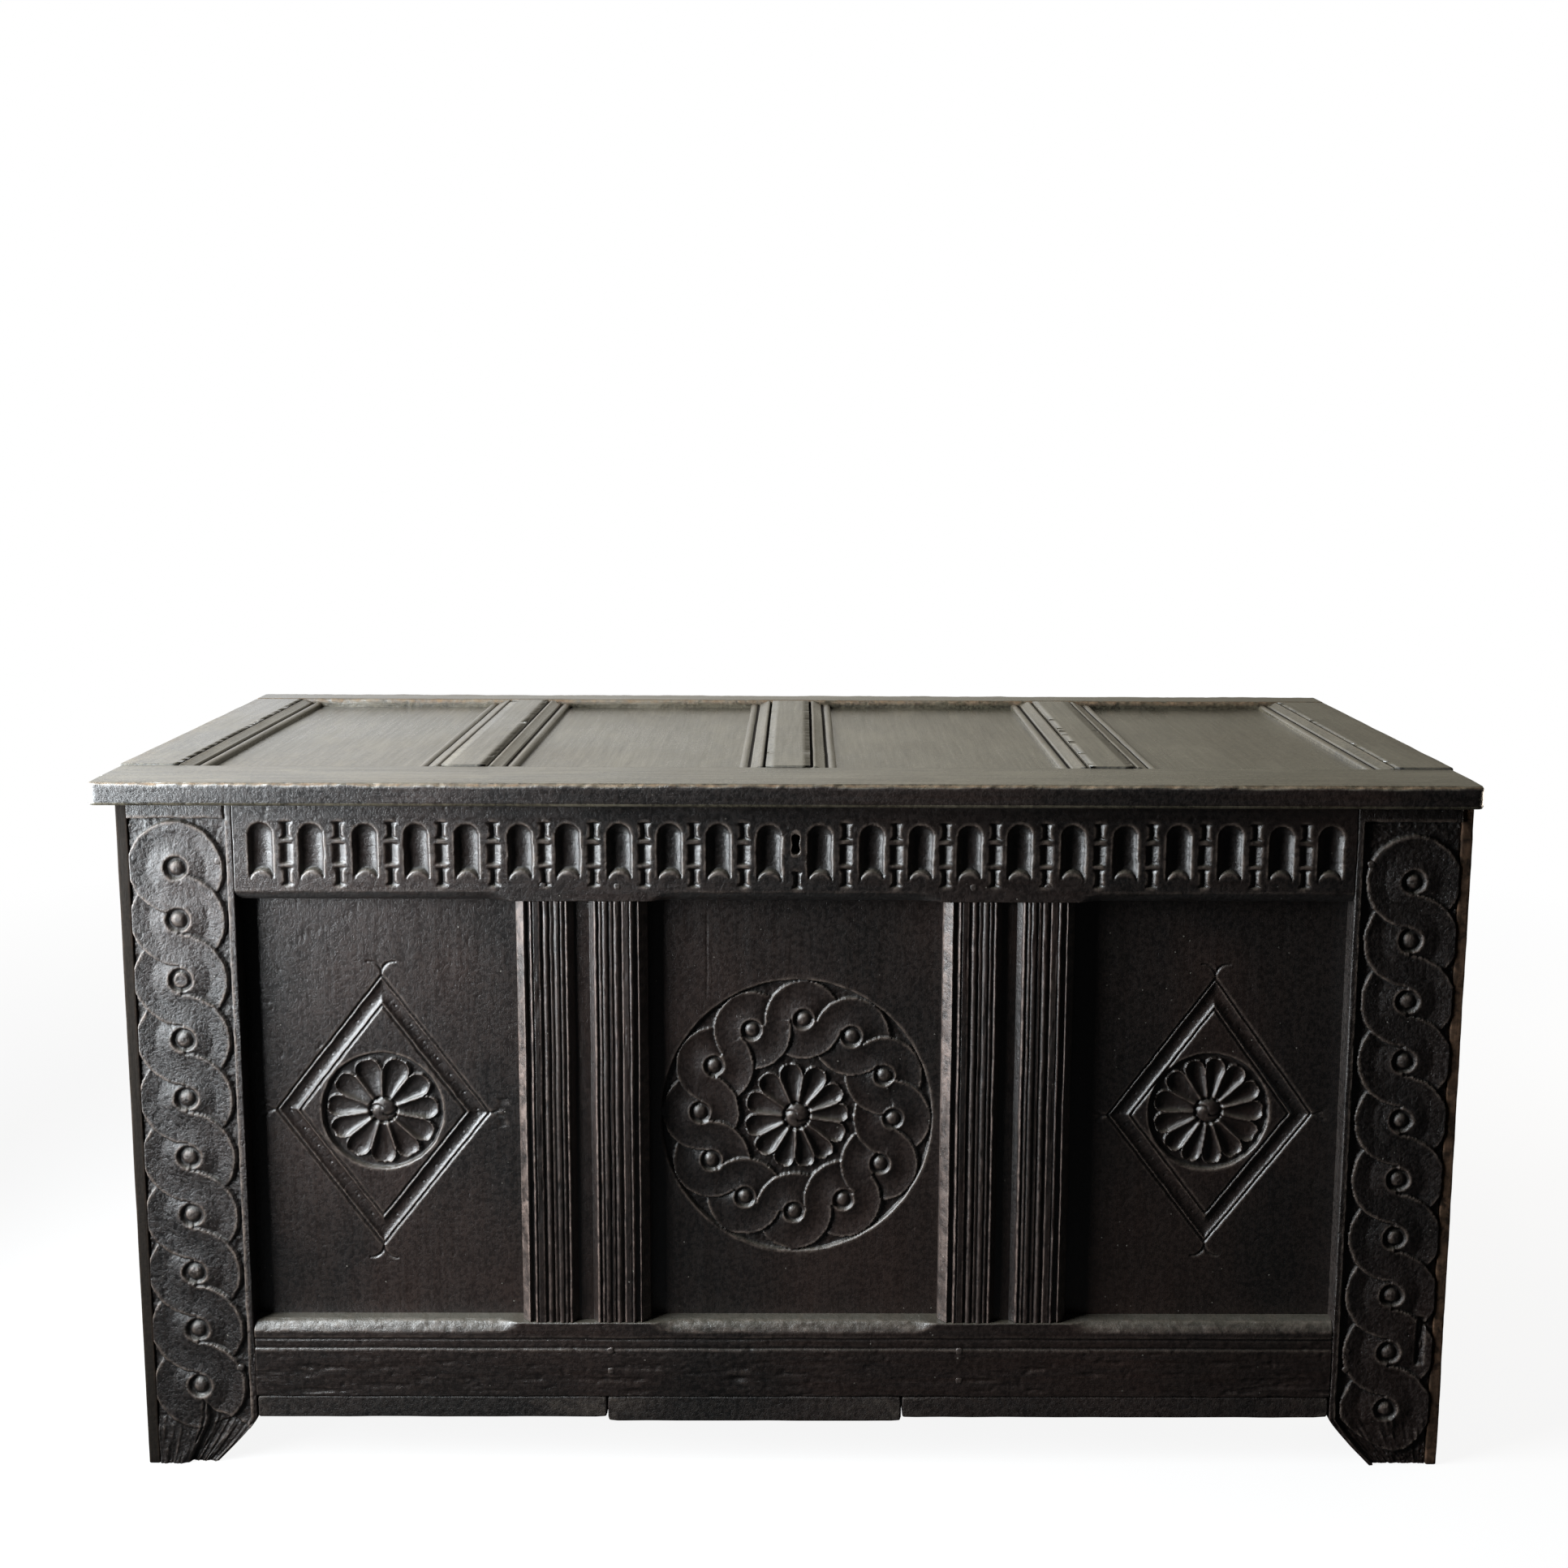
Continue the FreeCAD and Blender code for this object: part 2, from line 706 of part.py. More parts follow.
def end_rail(hand, level):
    name = f"{hand_name(hand)}_end_{level}_rail"
    z, height = end_rail_levels()[level]
    low = across(hand, half_length - d.end_rail_thick, d.end_rail_thick)
    span = d.chest_depth - 2 * d.stile_thick
    bar = block(name + "_bar", (low, d.stile_thick, z), (d.end_rail_thick, span, height))
    tenon_x = across(hand, half_length - d.end_tenon_inset - d.tenon_thick, d.tenon_thick)
    tenon = block(name + "_tenon",
                  (tenon_x, d.stile_thick - d.end_tenon, z + d.tenon_shoulder),
                  (d.tenon_thick, span + 2 * d.end_tenon, height - 2 * d.tenon_shoulder))
    tools = end_pegs(hand, name + "_hole", d.peg_radius + d.peg_fit)
    tools += [nail_hole(f"{name}_nail_{index}", seat, "x", -hand, d.end_nail_length)
              for index, seat in enumerate(end_nail_seats(hand))]
    finish(name, carve(name + "_cut", joined(name + "_solid", [bar, tenon]), tools))


def end_board(hand, side):
    """An upright board outside the stiles, which runs down into a foot at its outer edge."""
    name = f"{hand_name(hand)}_end_board_{side}"
    outer = d.end_board_setback
    knee = outer + d.end_foot_width
    outline = [(outer, 0), (knee - d.end_foot_slope, 0), (knee, d.end_foot_height),
               (end_seam_front, d.end_foot_height), (end_seam_front, d.chest_height),
               (outer, d.chest_height)]
    if side == REAR:
        outline = [(d.chest_depth - y, z) for y, z in outline]
    low = across(hand, half_length, d.end_board_thick)
    board = drawn(name + "_board", "YZ_Plane", outline, d.end_board_thick, (low, 0, 0))
    tools = [nail_hole(f"{name}_nail_{index}", seat, "x", -hand, d.end_nail_length)
             for index, seat in enumerate(end_nail_seats(hand))]
    finish(name, carve(name + "_cut", board, tools))


def bottom_nail_holes(name, tag):
    return [nail_hole(f"{name}_{tag}_nail_{index}", seat, "z", 1, d.bottom_nail_length)
            for index, seat in enumerate(bottom_nail_seats())]


def bottom_board(place_name):
    """A board across the underside, notched round the stiles at the two ends."""
    name = f"bottom_board_{place_name}"
    low, high = board_spans[place_name]
    thick = d.centre_board_thick if place_name == "centre" else d.bottom_board_thick
    front = d.bottom_board_setback
    length = d.chest_depth - 2 * d.bottom_board_setback
    base = d.bottom_rail_lift - thick
    board = block(name + "_board", (low, front, base), (high - low, length, thick))
    tools = bottom_nail_holes(name, "board")
    if place_name == "centre":
        tools.append(block(name + "_broken_corner",
                           (high - d.broken_corner_length, front, base),
                           (d.broken_corner_length, d.broken_corner_depth,
                            d.broken_corner_height)))
    else:
        hand = LEFT if place_name == "left" else RIGHT
        near = inner_edge - d.bottom_board_fit
        wide = half_length - near
        notch = d.stile_thick + d.bottom_board_fit
        for side in (FRONT, REAR):
            tools.append(block(f"{name}_{side}_notch",
                               (across(hand, near, wide), layer(side, 0, notch), base),
                               (wide, notch, thick)))
    finish(name, carve(name + "_cut", board, tools))


# ---------------------------------------------------------------- lid

def moulded_edge(flat):
    """The moulding that falls from a flat to the panel, as (offset, height) from the inside."""
    top = d.lid_thick
    quirk = flat + d.lid_quirk
    fillet = quirk + d.lid_fillet
    hollow = fillet + d.lid_hollow
    step = hollow + d.lid_step
    crown = step + d.lid_bead_rise
    edge = crown + d.lid_bead_fall
    return [(flat, top), (flat, top - d.lid_quirk_depth), (quirk, top - d.lid_quirk_depth),
            (quirk, top - d.lid_fillet_drop), (fillet, top - d.lid_fillet_drop),
            (hollow, top - d.lid_hollow_drop), (hollow, top - d.lid_step_drop),
            (step, top - d.lid_step_drop), (crown, top - d.lid_bead_rise_drop),
            (edge, top - d.lid_lip_drop), (edge, 0)]


def lid_tenons(name, middle):
    """One long bar whose ends are a member's tenons into the front and back rails."""
    thick = d.groove_width - 2 * d.joint_fit
    return block(name, (middle - d.lid_tenon_width / 2, lid_inside_front - d.lid_front_tenon,
                        lid_under + lid_groove_base + d.joint_fit),
                 (d.lid_tenon_width,
                  lid_inside_back - lid_inside_front + d.lid_front_tenon + d.lid_back_tenon,
                  thick))


def lid_groove(name, low):
    return block(name, (low, lid_inside_front, lid_under + lid_groove_base),
                 (d.lid_groove_depth, lid_inside_back - lid_inside_front, d.groove_width))


def lid_member_places():
    """The middle of each end and muntin of the lid, in order from the left."""
    return {"left_end": lid_left + d.lid_end_flat / 2,
            "left_muntin": lid_middle - d.lid_muntin_pitch,
            "centre_muntin": lid_middle,
            "right_muntin": lid_middle + d.lid_muntin_pitch,
            "right_end": lid_right - d.lid_end_flat / 2}


def lid_peg_rods(name, radius):
    rods = []
    ys = (lid_inside_front - d.lid_front_tenon / 2, lid_inside_back + d.lid_back_tenon / 2)
    for member, x in lid_member_places().items():
        shift = 0 if member.endswith("end") else d.lid_peg_shift
        for index, y in enumerate(ys):
            rods.append(rod(f"{name}_{member}_{index}", (x + shift, y, lid_under), "z", radius,
                            d.lid_peg_length))
    return rods


def lid_member(member):
    """An end or a muntin of the lid, moulded on each side that meets a panel."""
    name = f"lid_{member}"
    middle = lid_member_places()[member]
    length = lid_inside_back - lid_inside_front
    if member.endswith("end"):
        hand = LEFT if member.startswith("left") else RIGHT
        outline = [(0, 0), (0, d.lid_thick)] + moulded_edge(d.lid_end_flat)
        outline = [(-hand * x, z) for x, z in outline]
        start = lid_left if hand == LEFT else lid_right
        inner = start - hand * lid_end_width
        grooves = [lid_groove(name + "_groove",
                              inner if hand == RIGHT else inner - d.lid_groove_depth)]
    else:
        half = moulded_edge(d.lid_muntin_flat / 2)
        outline = [(-x, z) for x, z in reversed(half)] + half
        start = middle
        grooves = [lid_groove(name + "_left_groove", middle - lid_muntin_width / 2),
                   lid_groove(name + "_right_groove",
                              middle + lid_muntin_width / 2 - d.lid_groove_depth)]
    body = drawn(name + "_bar", "XZ_Plane", outline, length,
                 (start, lid_inside_front, lid_under), backward=True)
    tools = grooves + lid_peg_rods(name + "_hole", d.lid_peg_radius + d.peg_fit)
    if member == "centre_muntin":
        tools += staple_nail_holes(name)
    elif member.endswith("muntin"):
        tools += strap_nail_holes(name)
    finish(name, carve(name + "_cut",
                       joined(name + "_solid", [body, lid_tenons(name + "_tenon", middle)]),
                       tools))


def lid_mortises(name, low, deep):
    gap = d.lid_tenon_width + 2 * d.joint_fit
    return [block(f"{name}_{member}_mortise",
                  (x - gap / 2, low, lid_under + lid_groove_base), (gap, deep, d.groove_width))
            for member, x in lid_member_places().items()]


def lid_front():
    """The broad front rail, which falls a little from its middle to a worn front arris."""
    name = "lid_front_rail"
    front = -d.lid_over_front
    top = d.lid_thick
    edge = d.lid_edge_chamfer
    outline = [(front, edge), (front + edge, 0), (lid_inside_front, 0), (lid_inside_front, top),
               (front + d.lid_nosing, top), (front + edge, top - d.lid_nosing_drop),
               (front, top - d.lid_nosing_drop - edge)]
    rail = drawn(name + "_bar", "YZ_Plane", outline, lid_length, (lid_left, 0, lid_under))
    deep = d.lid_front_tenon + d.mortise_spare
    tools = lid_mortises(name, lid_inside_front - deep, deep)
    tools.append(block(name + "_groove",
                       (lid_left + d.lid_end_flat, lid_inside_front - d.lid_groove_depth,
                        lid_under + lid_groove_base),
                       (lid_length - 2 * d.lid_end_flat, d.lid_groove_depth, d.groove_width)))
    tools += lid_peg_rods(name + "_hole", d.lid_peg_radius + d.peg_fit)
    tools += staple_nail_holes(name)
    finish(name, carve(name + "_cut", rail, tools))


def lid_back():
    name = "lid_back_rail"
    edge = d.lid_edge_chamfer
    outline = [(lid_inside_back, 0), (d.chest_depth, 0), (d.chest_depth, d.lid_thick - edge),
               (d.chest_depth - edge, d.lid_thick), (lid_inside_back, d.lid_thick)]
    rail = drawn(name + "_bar", "YZ_Plane", outline, lid_length, (lid_left, 0, lid_under))
    deep = d.lid_back_tenon + d.mortise_spare
    tools = lid_mortises(name, lid_inside_back, deep)
    tools.append(block(name + "_groove",
                       (lid_left + d.lid_end_flat, lid_inside_back, lid_under + lid_groove_base),
                       (lid_length - 2 * d.lid_end_flat, d.lid_groove_depth, d.groove_width)))
    tools += lid_peg_rods(name + "_hole", d.lid_peg_radius + d.peg_fit)
    tools += strap_nail_holes(name)
    finish(name, carve(name + "_cut", rail, tools))


def lid_panel(number):
    """A sunk panel, with its underside feathered into the grooves."""
    name = f"lid_panel_{number}"
    edges = [lid_left + lid_end_width]
    for middle in (lid_middle - d.lid_muntin_pitch, lid_middle, lid_middle + d.lid_muntin_pitch):
        edges += [middle - lid_muntin_width / 2, middle + lid_muntin_width / 2]
    edges.append(lid_right - lid_end_width)
    low, high = edges[2 * number - 2], edges[2 * number - 1]
    width = high - low
    length = lid_inside_back - lid_inside_front
    tongue = d.lid_groove_depth - d.panel_play
    thick = d.groove_width - 2 * d.panel_fit
    base = lid_under + lid_groove_base + d.panel_fit
    board = block(name + "_board", (low - tongue, lid_inside_front - tongue, base),
                  (width + 2 * tongue, length + 2 * tongue, thick))
    raised = lid_groove_base - d.lid_panel_base
    margin, feather = d.panel_margin, d.panel_feather
    field = doc.addObject("Part::Wedge", name + "_field")
    bind(field, Xmin=margin, Xmax=width - margin, Zmin=margin, Zmax=length - margin,
         X2min=feather, X2max=width - feather, Z2min=feather, Z2max=length - feather,
         Ymin=0, Ymax=raised)
    field.Placement.Rotation = DOWNWARD
    place(field, (low, lid_inside_front, base))
    finish(name, joined(name + "_solid", [board, field]))


# ---------------------------------------------------------------- hinges

strap_half = d.strap_width / 2
hinge_half = d.knuckle_width * 1.5 + d.knuckle_gap


def strap_nail_seats():
    ys = [d.chest_depth - d.lid_back_rail / 2, d.chest_depth - d.strap_length / 2,
          d.chest_depth - d.strap_length + d.strap_nail_end]
    return [(x, y, lid_under - d.hinge_plate) for x in hinge_places.values() for y in ys]


def strap_nail_holes(name):
    return [nail_hole(f"{name}_strap_nail_{index}", seat, "z", 1, d.iron_nail_length)
            for index, seat in enumerate(strap_nail_seats())]


def leaf_nail_seats():
    face = d.chest_depth + d.hinge_plate
    low = hinge_axis_z - d.leaf_drop + d.leaf_nail_end
    high = hinge_axis_z - 2 * d.knuckle_radius - d.leaf_nail_end
    return [(x + way * d.knuckle_width, face, z)
            for x in hinge_places.values() for way in (-1, 1) for z in (low, high)]


def strap_housings():
    """Notches in the top of the rear rail that take the straps."""
    wide = d.strap_width + 2 * d.strap_housing_fit
    deep = d.hinge_plate + d.nail_head_height - d.lid_gap + d.strap_housing_fit
    return [block(f"strap_housing_{name}",
                  (x - wide / 2, d.chest_depth - d.rail_thick, d.chest_height - deep),
                  (wide, d.rail_thick, deep)) for name, x in hinge_places.items()]


def hinge(name, x):
    bore = d.hinge_pin_radius + d.hinge_pin_fit
    full = 2 * hinge_half

    strap = f"hinge_strap_{name}"
    plate = block(strap + "_plate",
                  (x - strap_half, d.chest_depth - d.strap_length, lid_under - d.hinge_plate),
                  (d.strap_width, d.strap_length - d.strap_housing_fit, d.hinge_plate))
    neck = block(strap + "_neck",
                 (x - d.knuckle_width / 2, d.chest_depth - d.rail_thick,
                  lid_under - d.hinge_plate),
                 (d.knuckle_width, d.rail_thick + d.hinge_stand, d.hinge_plate))
    knuckle = rod(strap + "_knuckle", (x - d.knuckle_width / 2, hinge_axis_y, hinge_axis_z),
                  "x", d.knuckle_radius, d.knuckle_width)
    strap_bore = rod(strap + "_bore", (x - hinge_half, hinge_axis_y, hinge_axis_z), "x", bore,
                     full)
    finish(strap, carve(strap + "_cut", joined(strap + "_solid", [plate, neck, knuckle]),
                        [strap_bore] + strap_nail_holes(strap)))

    leaf = f"hinge_leaf_{name}"
    sheet_top = hinge_axis_z - d.knuckle_radius - 2 * d.knuckle_gap
    pieces = [block(leaf + "_plate",
                    (x - hinge_half, d.chest_depth, hinge_axis_z - d.leaf_drop),
                    (full, d.hinge_plate, sheet_top - hinge_axis_z + d.leaf_drop))]
    for way in (-1, 1):
        low = x + way * (d.knuckle_width + d.knuckle_gap) - d.knuckle_width / 2
        pieces.append(block(f"{leaf}_ear_{way}",
                            (low, d.chest_depth, hinge_axis_z - d.ear_reach),
                            (d.knuckle_width, d.hinge_plate, d.ear_reach)))
        pieces.append(rod(f"{leaf}_knuckle_{way}", (low, hinge_axis_y, hinge_axis_z), "x",
                          d.knuckle_radius, d.knuckle_width))
    leaf_bore = rod(leaf + "_bore", (x - hinge_half, hinge_axis_y, hinge_axis_z), "x", bore,
                    full)
    holes = [nail_hole(f"{leaf}_nail_{index}", seat, "y", -1, d.iron_nail_length)
             for index, seat in enumerate(leaf_nail_seats())]
    finish(leaf, carve(leaf + "_cut", joined(leaf + "_solid", pieces), [leaf_bore] + holes))

    finish(f"hinge_pin_{name}",
           group(f"hinge_pin_{name}_bar",
                 [rod(f"hinge_pin_{name}_rod", (x - hinge_half, hinge_axis_y, hinge_axis_z),
                      "x", d.hinge_pin_radius, full)]))


# ---------------------------------------------------------------- lock

flange_half = d.lock_width / 2 + d.lock_flange
flange_base = lock_top - d.lock_height / 2 - d.lock_flange_height / 2


def lock_nail_seats():
    face = d.rail_thick + d.lock_wall
    xs = [way * (flange_half - d.lock_flange / 2) for way in (-1, 1)]
    zs = [flange_base + d.lock_nail_end,
          flange_base + d.lock_flange_height - d.lock_nail_end]
    return [(x, face, z) for x in xs for z in zs]


staple_low = d.staple_offset
window_width = d.bolt_thick + 2 * d.staple_play
window_height = d.bolt_height + 2 * d.staple_play
staple_width = window_width + 2 * d.staple_bar
staple_base = bolt_base - d.staple_play - d.staple_bar
plate_base = lid_under - d.staple_plate_thick
plate_low = staple_low - d.staple_plate_length / 2
plate_front = bolt_y - d.staple_plate_width / 2 + d.staple_bar


def staple_nail_seats():
    xs = [plate_low + d.staple_nail_end, plate_low + d.staple_plate_length - d.staple_nail_end]
    ys = [plate_front + d.staple_nail_side,
          plate_front + d.staple_plate_width - d.staple_nail_side]
    return [(x, y, plate_base) for x in xs for y in ys]


def staple_nail_holes(name):
    return [nail_hole(f"{name}_staple_nail_{index}", seat, "z", 1, d.iron_nail_length)
            for index, seat in enumerate(staple_nail_seats())]


def lock_case():
    """An iron case open towards the rail, with two ribs that guide the bolt."""
    name = "lock_case"
    base = lock_top - d.lock_height
    shell = block(name + "_shell", (-d.lock_width / 2, d.rail_thick, base),
                  (d.lock_width, d.lock_depth, d.lock_height))
    flange = block(name + "_flange", (-flange_half, d.rail_thick, flange_base),
                   (2 * flange_half, d.lock_wall, d.lock_flange_height))
    cavity = block(name + "_cavity",
                   (-d.lock_width / 2 + d.lock_wall, d.rail_thick, base + d.lock_wall),
                   (d.lock_width - 2 * d.lock_wall, d.lock_depth - d.lock_wall,
                    d.lock_height - 2 * d.lock_wall))
    slot_x = d.staple_bar + 2 * d.staple_slot_fit
    slot_y = staple_width + 2 * d.staple_play
    slot = block(name + "_slot",
                 (staple_low - d.staple_slot_fit, bolt_y - slot_y / 2, lock_top - d.lock_wall),
                 (slot_x, slot_y, d.lock_wall))
    holes = [nail_hole(f"{name}_nail_{index}", seat, "y", -1, d.iron_nail_length)
             for index, seat in enumerate(lock_nail_seats())]
    hollow = carve(name + "_hollow", joined(name + "_solid", [shell, flange]),
                   [cavity, slot] + holes)
    rib_depth = d.lock_depth - d.lock_wall + d.lock_rib_bite
    rib_base = bolt_base - d.bolt_fit - d.lock_wall
    ribs = []
    for tag, x in (("far", d.bolt_reach + d.bolt_travel - d.bolt_length + d.lock_rib_inset),
                   ("near", d.bolt_reach - d.lock_rib_inset)):
        ribs.append(block(f"{name}_{tag}_rib", (x, d.rail_thick, rib_base),
                          (d.lock_wall, rib_depth,
                           lock_top - d.lock_wall + d.lock_rib_bite - rib_base)))
    window = block(name + "_window",
                   (-d.lock_width / 2 + d.lock_wall, bolt_y - d.bolt_thick / 2 - d.bolt_fit,
                    bolt_base - d.bolt_fit),
                   (d.lock_width - 2 * d.lock_wall, d.bolt_thick + 2 * d.bolt_fit,
                    d.bolt_height + 2 * d.bolt_fit))
    finish(name, carve(name + "_cut", joined(name + "_ribbed", [hollow] + ribs), [window]))


def lock_bolt():
    """A flat bolt with a notch for the key, drawn back so that the lid is free."""
    name = "lock_bolt"
    low = d.bolt_reach - d.bolt_length
    bar = block(name + "_bar", (low, bolt_y - d.bolt_thick / 2, bolt_base),
                (d.bolt_length, d.bolt_thick, d.bolt_height))
    talon = block(name + "_talon",
                  (-d.bolt_talon_width / 2, bolt_y - d.bolt_thick / 2, bolt_base),
                  (d.bolt_talon_width, d.bolt_thick, d.bolt_talon_depth))
    finish(name, carve(name + "_cut", bar, [talon]))


def lid_staple():
    """A plate under the lid, with a loop that drops into the lock."""
    name = "lid_staple"
    plate = block(name + "_plate", (plate_low, plate_front, plate_base),
                  (d.staple_plate_length, d.staple_plate_width, d.staple_plate_thick))
    loop = block(name + "_loop", (staple_low, bolt_y - staple_width / 2, staple_base),
                 (d.staple_bar, staple_width, plate_base - staple_base))
    window = block(name + "_window",
                   (staple_low, bolt_y - window_width / 2, bolt_base - d.staple_play),
                   (d.staple_bar, window_width, window_height))
    finish(name, carve(name + "_cut", joined(name + "_solid", [plate, loop]),
                       [window] + staple_nail_holes(name)))


# ---------------------------------------------------------------- the whole coffer

def fastenings():
    for side in (FRONT, REAR):
        name = f"{side}_pegs"
        finish(name, group(name + "_group", framed_side_pegs(side, name, d.peg_radius)))
    both_ends = [peg for hand in (LEFT, RIGHT)
                 for peg in end_pegs(hand, f"{hand_name(hand)}_end_peg", d.peg_radius)]
    finish("end_pegs", group("end_pegs_group", both_ends))
    finish("lid_pegs", group("lid_pegs_group", lid_peg_rods("lid_peg", d.lid_peg_radius)))

    end_nails = [nail(f"{hand_name(hand)}_end_nail_{index}", seat, "x", -hand,
                      d.end_nail_length)
                 for hand in (LEFT, RIGHT) for index, seat in enumerate(end_nail_seats(hand))]
    finish("end_board_nails", group("end_board_nails_group", end_nails))
    nail_groups = {
        "bottom_nails": (bottom_nail_seats(), "z", 1, d.bottom_nail_length),
        "hinge_leaf_nails": (leaf_nail_seats(), "y", -1, d.iron_nail_length),
        "hinge_strap_nails": (strap_nail_seats(), "z", 1, d.iron_nail_length),
        "lock_nails": (lock_nail_seats(), "y", -1, d.iron_nail_length),
        "staple_nails": (staple_nail_seats(), "z", 1, d.iron_nail_length),
    }
    for name, (seats, axis, way, length) in nail_groups.items():
        finish(name, group(name + "_group", [nail(f"{name}_{index}", seat, axis, way, length)
                                             for index, seat in enumerate(seats)]))


def build():
    for side in (FRONT, REAR):
        for hand in (LEFT, RIGHT):
            stile(hand, side)
            muntin(hand, side)
        for level in ("top", "bottom"):
            long_rail(side, level)
        for place_name in ("left", "centre", "right"):
            panel(place_name, side)
    for hand in (LEFT, RIGHT):
        for level in ("top", "bottom"):
            end_rail(hand, level)
        for side in (FRONT, REAR):
            end_board(hand, side)
    for place_name in board_spans:
        bottom_board(place_name)
    lid_front()
    lid_back()
    for member in lid_member_places():
        lid_member(member)
    for number in range(1, 5):
        lid_panel(number)
    for name, x in hinge_places.items():
        hinge(name, x)
    lock_case()
    lock_bolt()
    lid_staple()
    fastenings()
    doc.recompute()


def check():
    for thing in doc.Objects:
        if "Invalid" in thing.State or "Error" in thing.State:
            raise RuntimeError(f"{thing.Name} failed: {thing.State}")
    for label, piece in nodes:
        shape = piece.Shape
        if shape.isNull() or not shape.isValid() or not shape.Solids:
            raise RuntimeError(f"{label} has no valid solid")


def export():
    os.makedirs("parts", exist_ok=True)
    for label, piece in nodes:
        piece.Shape.exportStep(f"parts/{label}.step")


build()
check()
export()
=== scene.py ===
"""Looks of the joined oak coffer chest.

The carved front is made of relief boards: a board's face is a grid of points, and each carved
motif says how deep it is cut there. The other boards are planks: a section with worn corners,
swept along the board's grain. Sizes are in millimetres and turn into metres as a mesh is made.
"""
import math

import bpy
import numpy as np
from mathutils import Matrix, Vector


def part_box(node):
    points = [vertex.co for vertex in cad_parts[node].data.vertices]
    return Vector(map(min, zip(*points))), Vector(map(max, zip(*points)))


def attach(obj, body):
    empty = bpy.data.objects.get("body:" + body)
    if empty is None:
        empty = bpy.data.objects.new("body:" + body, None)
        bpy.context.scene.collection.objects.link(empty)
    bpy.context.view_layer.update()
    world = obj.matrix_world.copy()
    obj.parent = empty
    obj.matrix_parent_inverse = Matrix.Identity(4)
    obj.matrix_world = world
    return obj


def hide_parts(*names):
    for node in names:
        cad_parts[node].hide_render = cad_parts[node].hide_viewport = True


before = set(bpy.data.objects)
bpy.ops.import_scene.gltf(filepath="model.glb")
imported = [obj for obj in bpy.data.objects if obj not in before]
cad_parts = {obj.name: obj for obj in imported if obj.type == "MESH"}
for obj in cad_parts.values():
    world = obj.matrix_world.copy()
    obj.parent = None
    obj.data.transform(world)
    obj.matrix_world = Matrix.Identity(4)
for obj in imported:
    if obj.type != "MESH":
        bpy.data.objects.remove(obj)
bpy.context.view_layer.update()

MM = 0.001


# ---------------------------------------------------------------- the object's own places

X, Y, Z = 0, 1, 2


def box_of(node):
    """A node's lowest and highest corner in millimetres."""
    return [np.array(corner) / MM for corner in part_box(node)]


def box_span(node, axis):
    """A node's lowest and highest place along one axis."""
    low, high = box_of(node)
    return low[axis], high[axis]


STILE_LOW, STILE_HIGH = box_of("front_left_stile")
RIGHT_EDGE = box_span("front_right_stile", X)[1]
MIDDLE_X = (STILE_LOW[X] + RIGHT_EDGE) / 2
HALF_LENGTH = (RIGHT_EDGE - STILE_LOW[X]) / 2
FACE_Y = STILE_LOW[Y]
REAR_Y = box_span("rear_left_stile", Y)[1]
STILE_WIDTH = STILE_HIGH[X] - STILE_LOW[X]
STILE_THICK = STILE_HIGH[Y] - STILE_LOW[Y]
BODY_HEIGHT = STILE_HIGH[Z]
OPENING = HALF_LENGTH - STILE_WIDTH
FOOT_CUT_WIDTH, FOOT_CUT_HEIGHT = 42.0, 49.0
RAIL_THICK = box_span("front_top_rail", Y)[1] - FACE_Y
TOP_RAIL_LOW = box_span("front_top_rail", Z)[0]
BOTTOM_RAIL_LOW, BOTTOM_RAIL_HIGH = box_span("front_bottom_rail", Z)
MUNTIN_LEFT, MUNTIN_RIGHT = box_span("front_right_muntin", X)
MUNTIN_CENTRE = (MUNTIN_LEFT + MUNTIN_RIGHT) / 2 - MIDDLE_X
MUNTIN_WIDTH = MUNTIN_RIGHT - MUNTIN_LEFT
PANEL_FRONT, PANEL_BACK = box_span("front_left_panel", Y)
PANEL_FACE = PANEL_FRONT - FACE_Y
PANEL_THICK = PANEL_BACK - PANEL_FRONT
BETWEEN_RAILS = (150, 566)
LID_BASE, LID_TOP = box_span("lid_front_rail", Z)
LID_THICK = LID_TOP - LID_BASE


class Placing:
    """A board's own axes: u to the right, v up the face and w out of it."""

    def __init__(self, origin, right, up):
        self.origin = np.array(origin, float)
        self.right = np.array(right, float)
        self.up = np.array(up, float)
        self.out = np.cross(self.right, self.up)

    def points(self, u, v, w):
        """Points in metres from their places along the three axes, in millimetres."""
        flat = [np.asarray(a, float).reshape(-1, 1) for a in (u, v, w)]
        return (self.origin + flat[0] * self.right + flat[1] * self.up + flat[2] * self.out) * MM


FRONT = Placing((MIDDLE_X, FACE_Y, 0), (1, 0, 0), (0, 0, 1))
ROW = Placing((0, 0, 0), (1, 0, 0), (0, 1, 0))


# ---------------------------------------------------------------- noise and small curves

CELLS = 61
CELL_SHIFT = 400


def lattice(u, v, size_u, size_v, seed):
    """Smooth seeded noise from -1 to 1, with cells of size_u by size_v."""
    table = np.random.default_rng(seed).uniform(-1, 1, (CELLS, CELLS))
    a, b = u / size_u + CELL_SHIFT, v / size_v + CELL_SHIFT
    i, j = np.floor(a).astype(int), np.floor(b).astype(int)
    s, t = a - i, b - j
    s, t = s * s * (3 - 2 * s), t * t * (3 - 2 * t)

    def at(p, q):
        return table[p % CELLS, q % CELLS]

    low = at(i, j) * (1 - s) + at(i + 1, j) * s
    high = at(i, j + 1) * (1 - s) + at(i + 1, j + 1) * s
    return low * (1 - t) + high * t


def waves(start, u, v, seed, *terms):
    """start plus noise: each term is an amount and the size of its cells, and takes the next seed."""
    for number, (amount, size_u, size_v) in enumerate(terms):
        start = start + amount * lattice(u, v, size_u, size_v, seed + number)
    return start


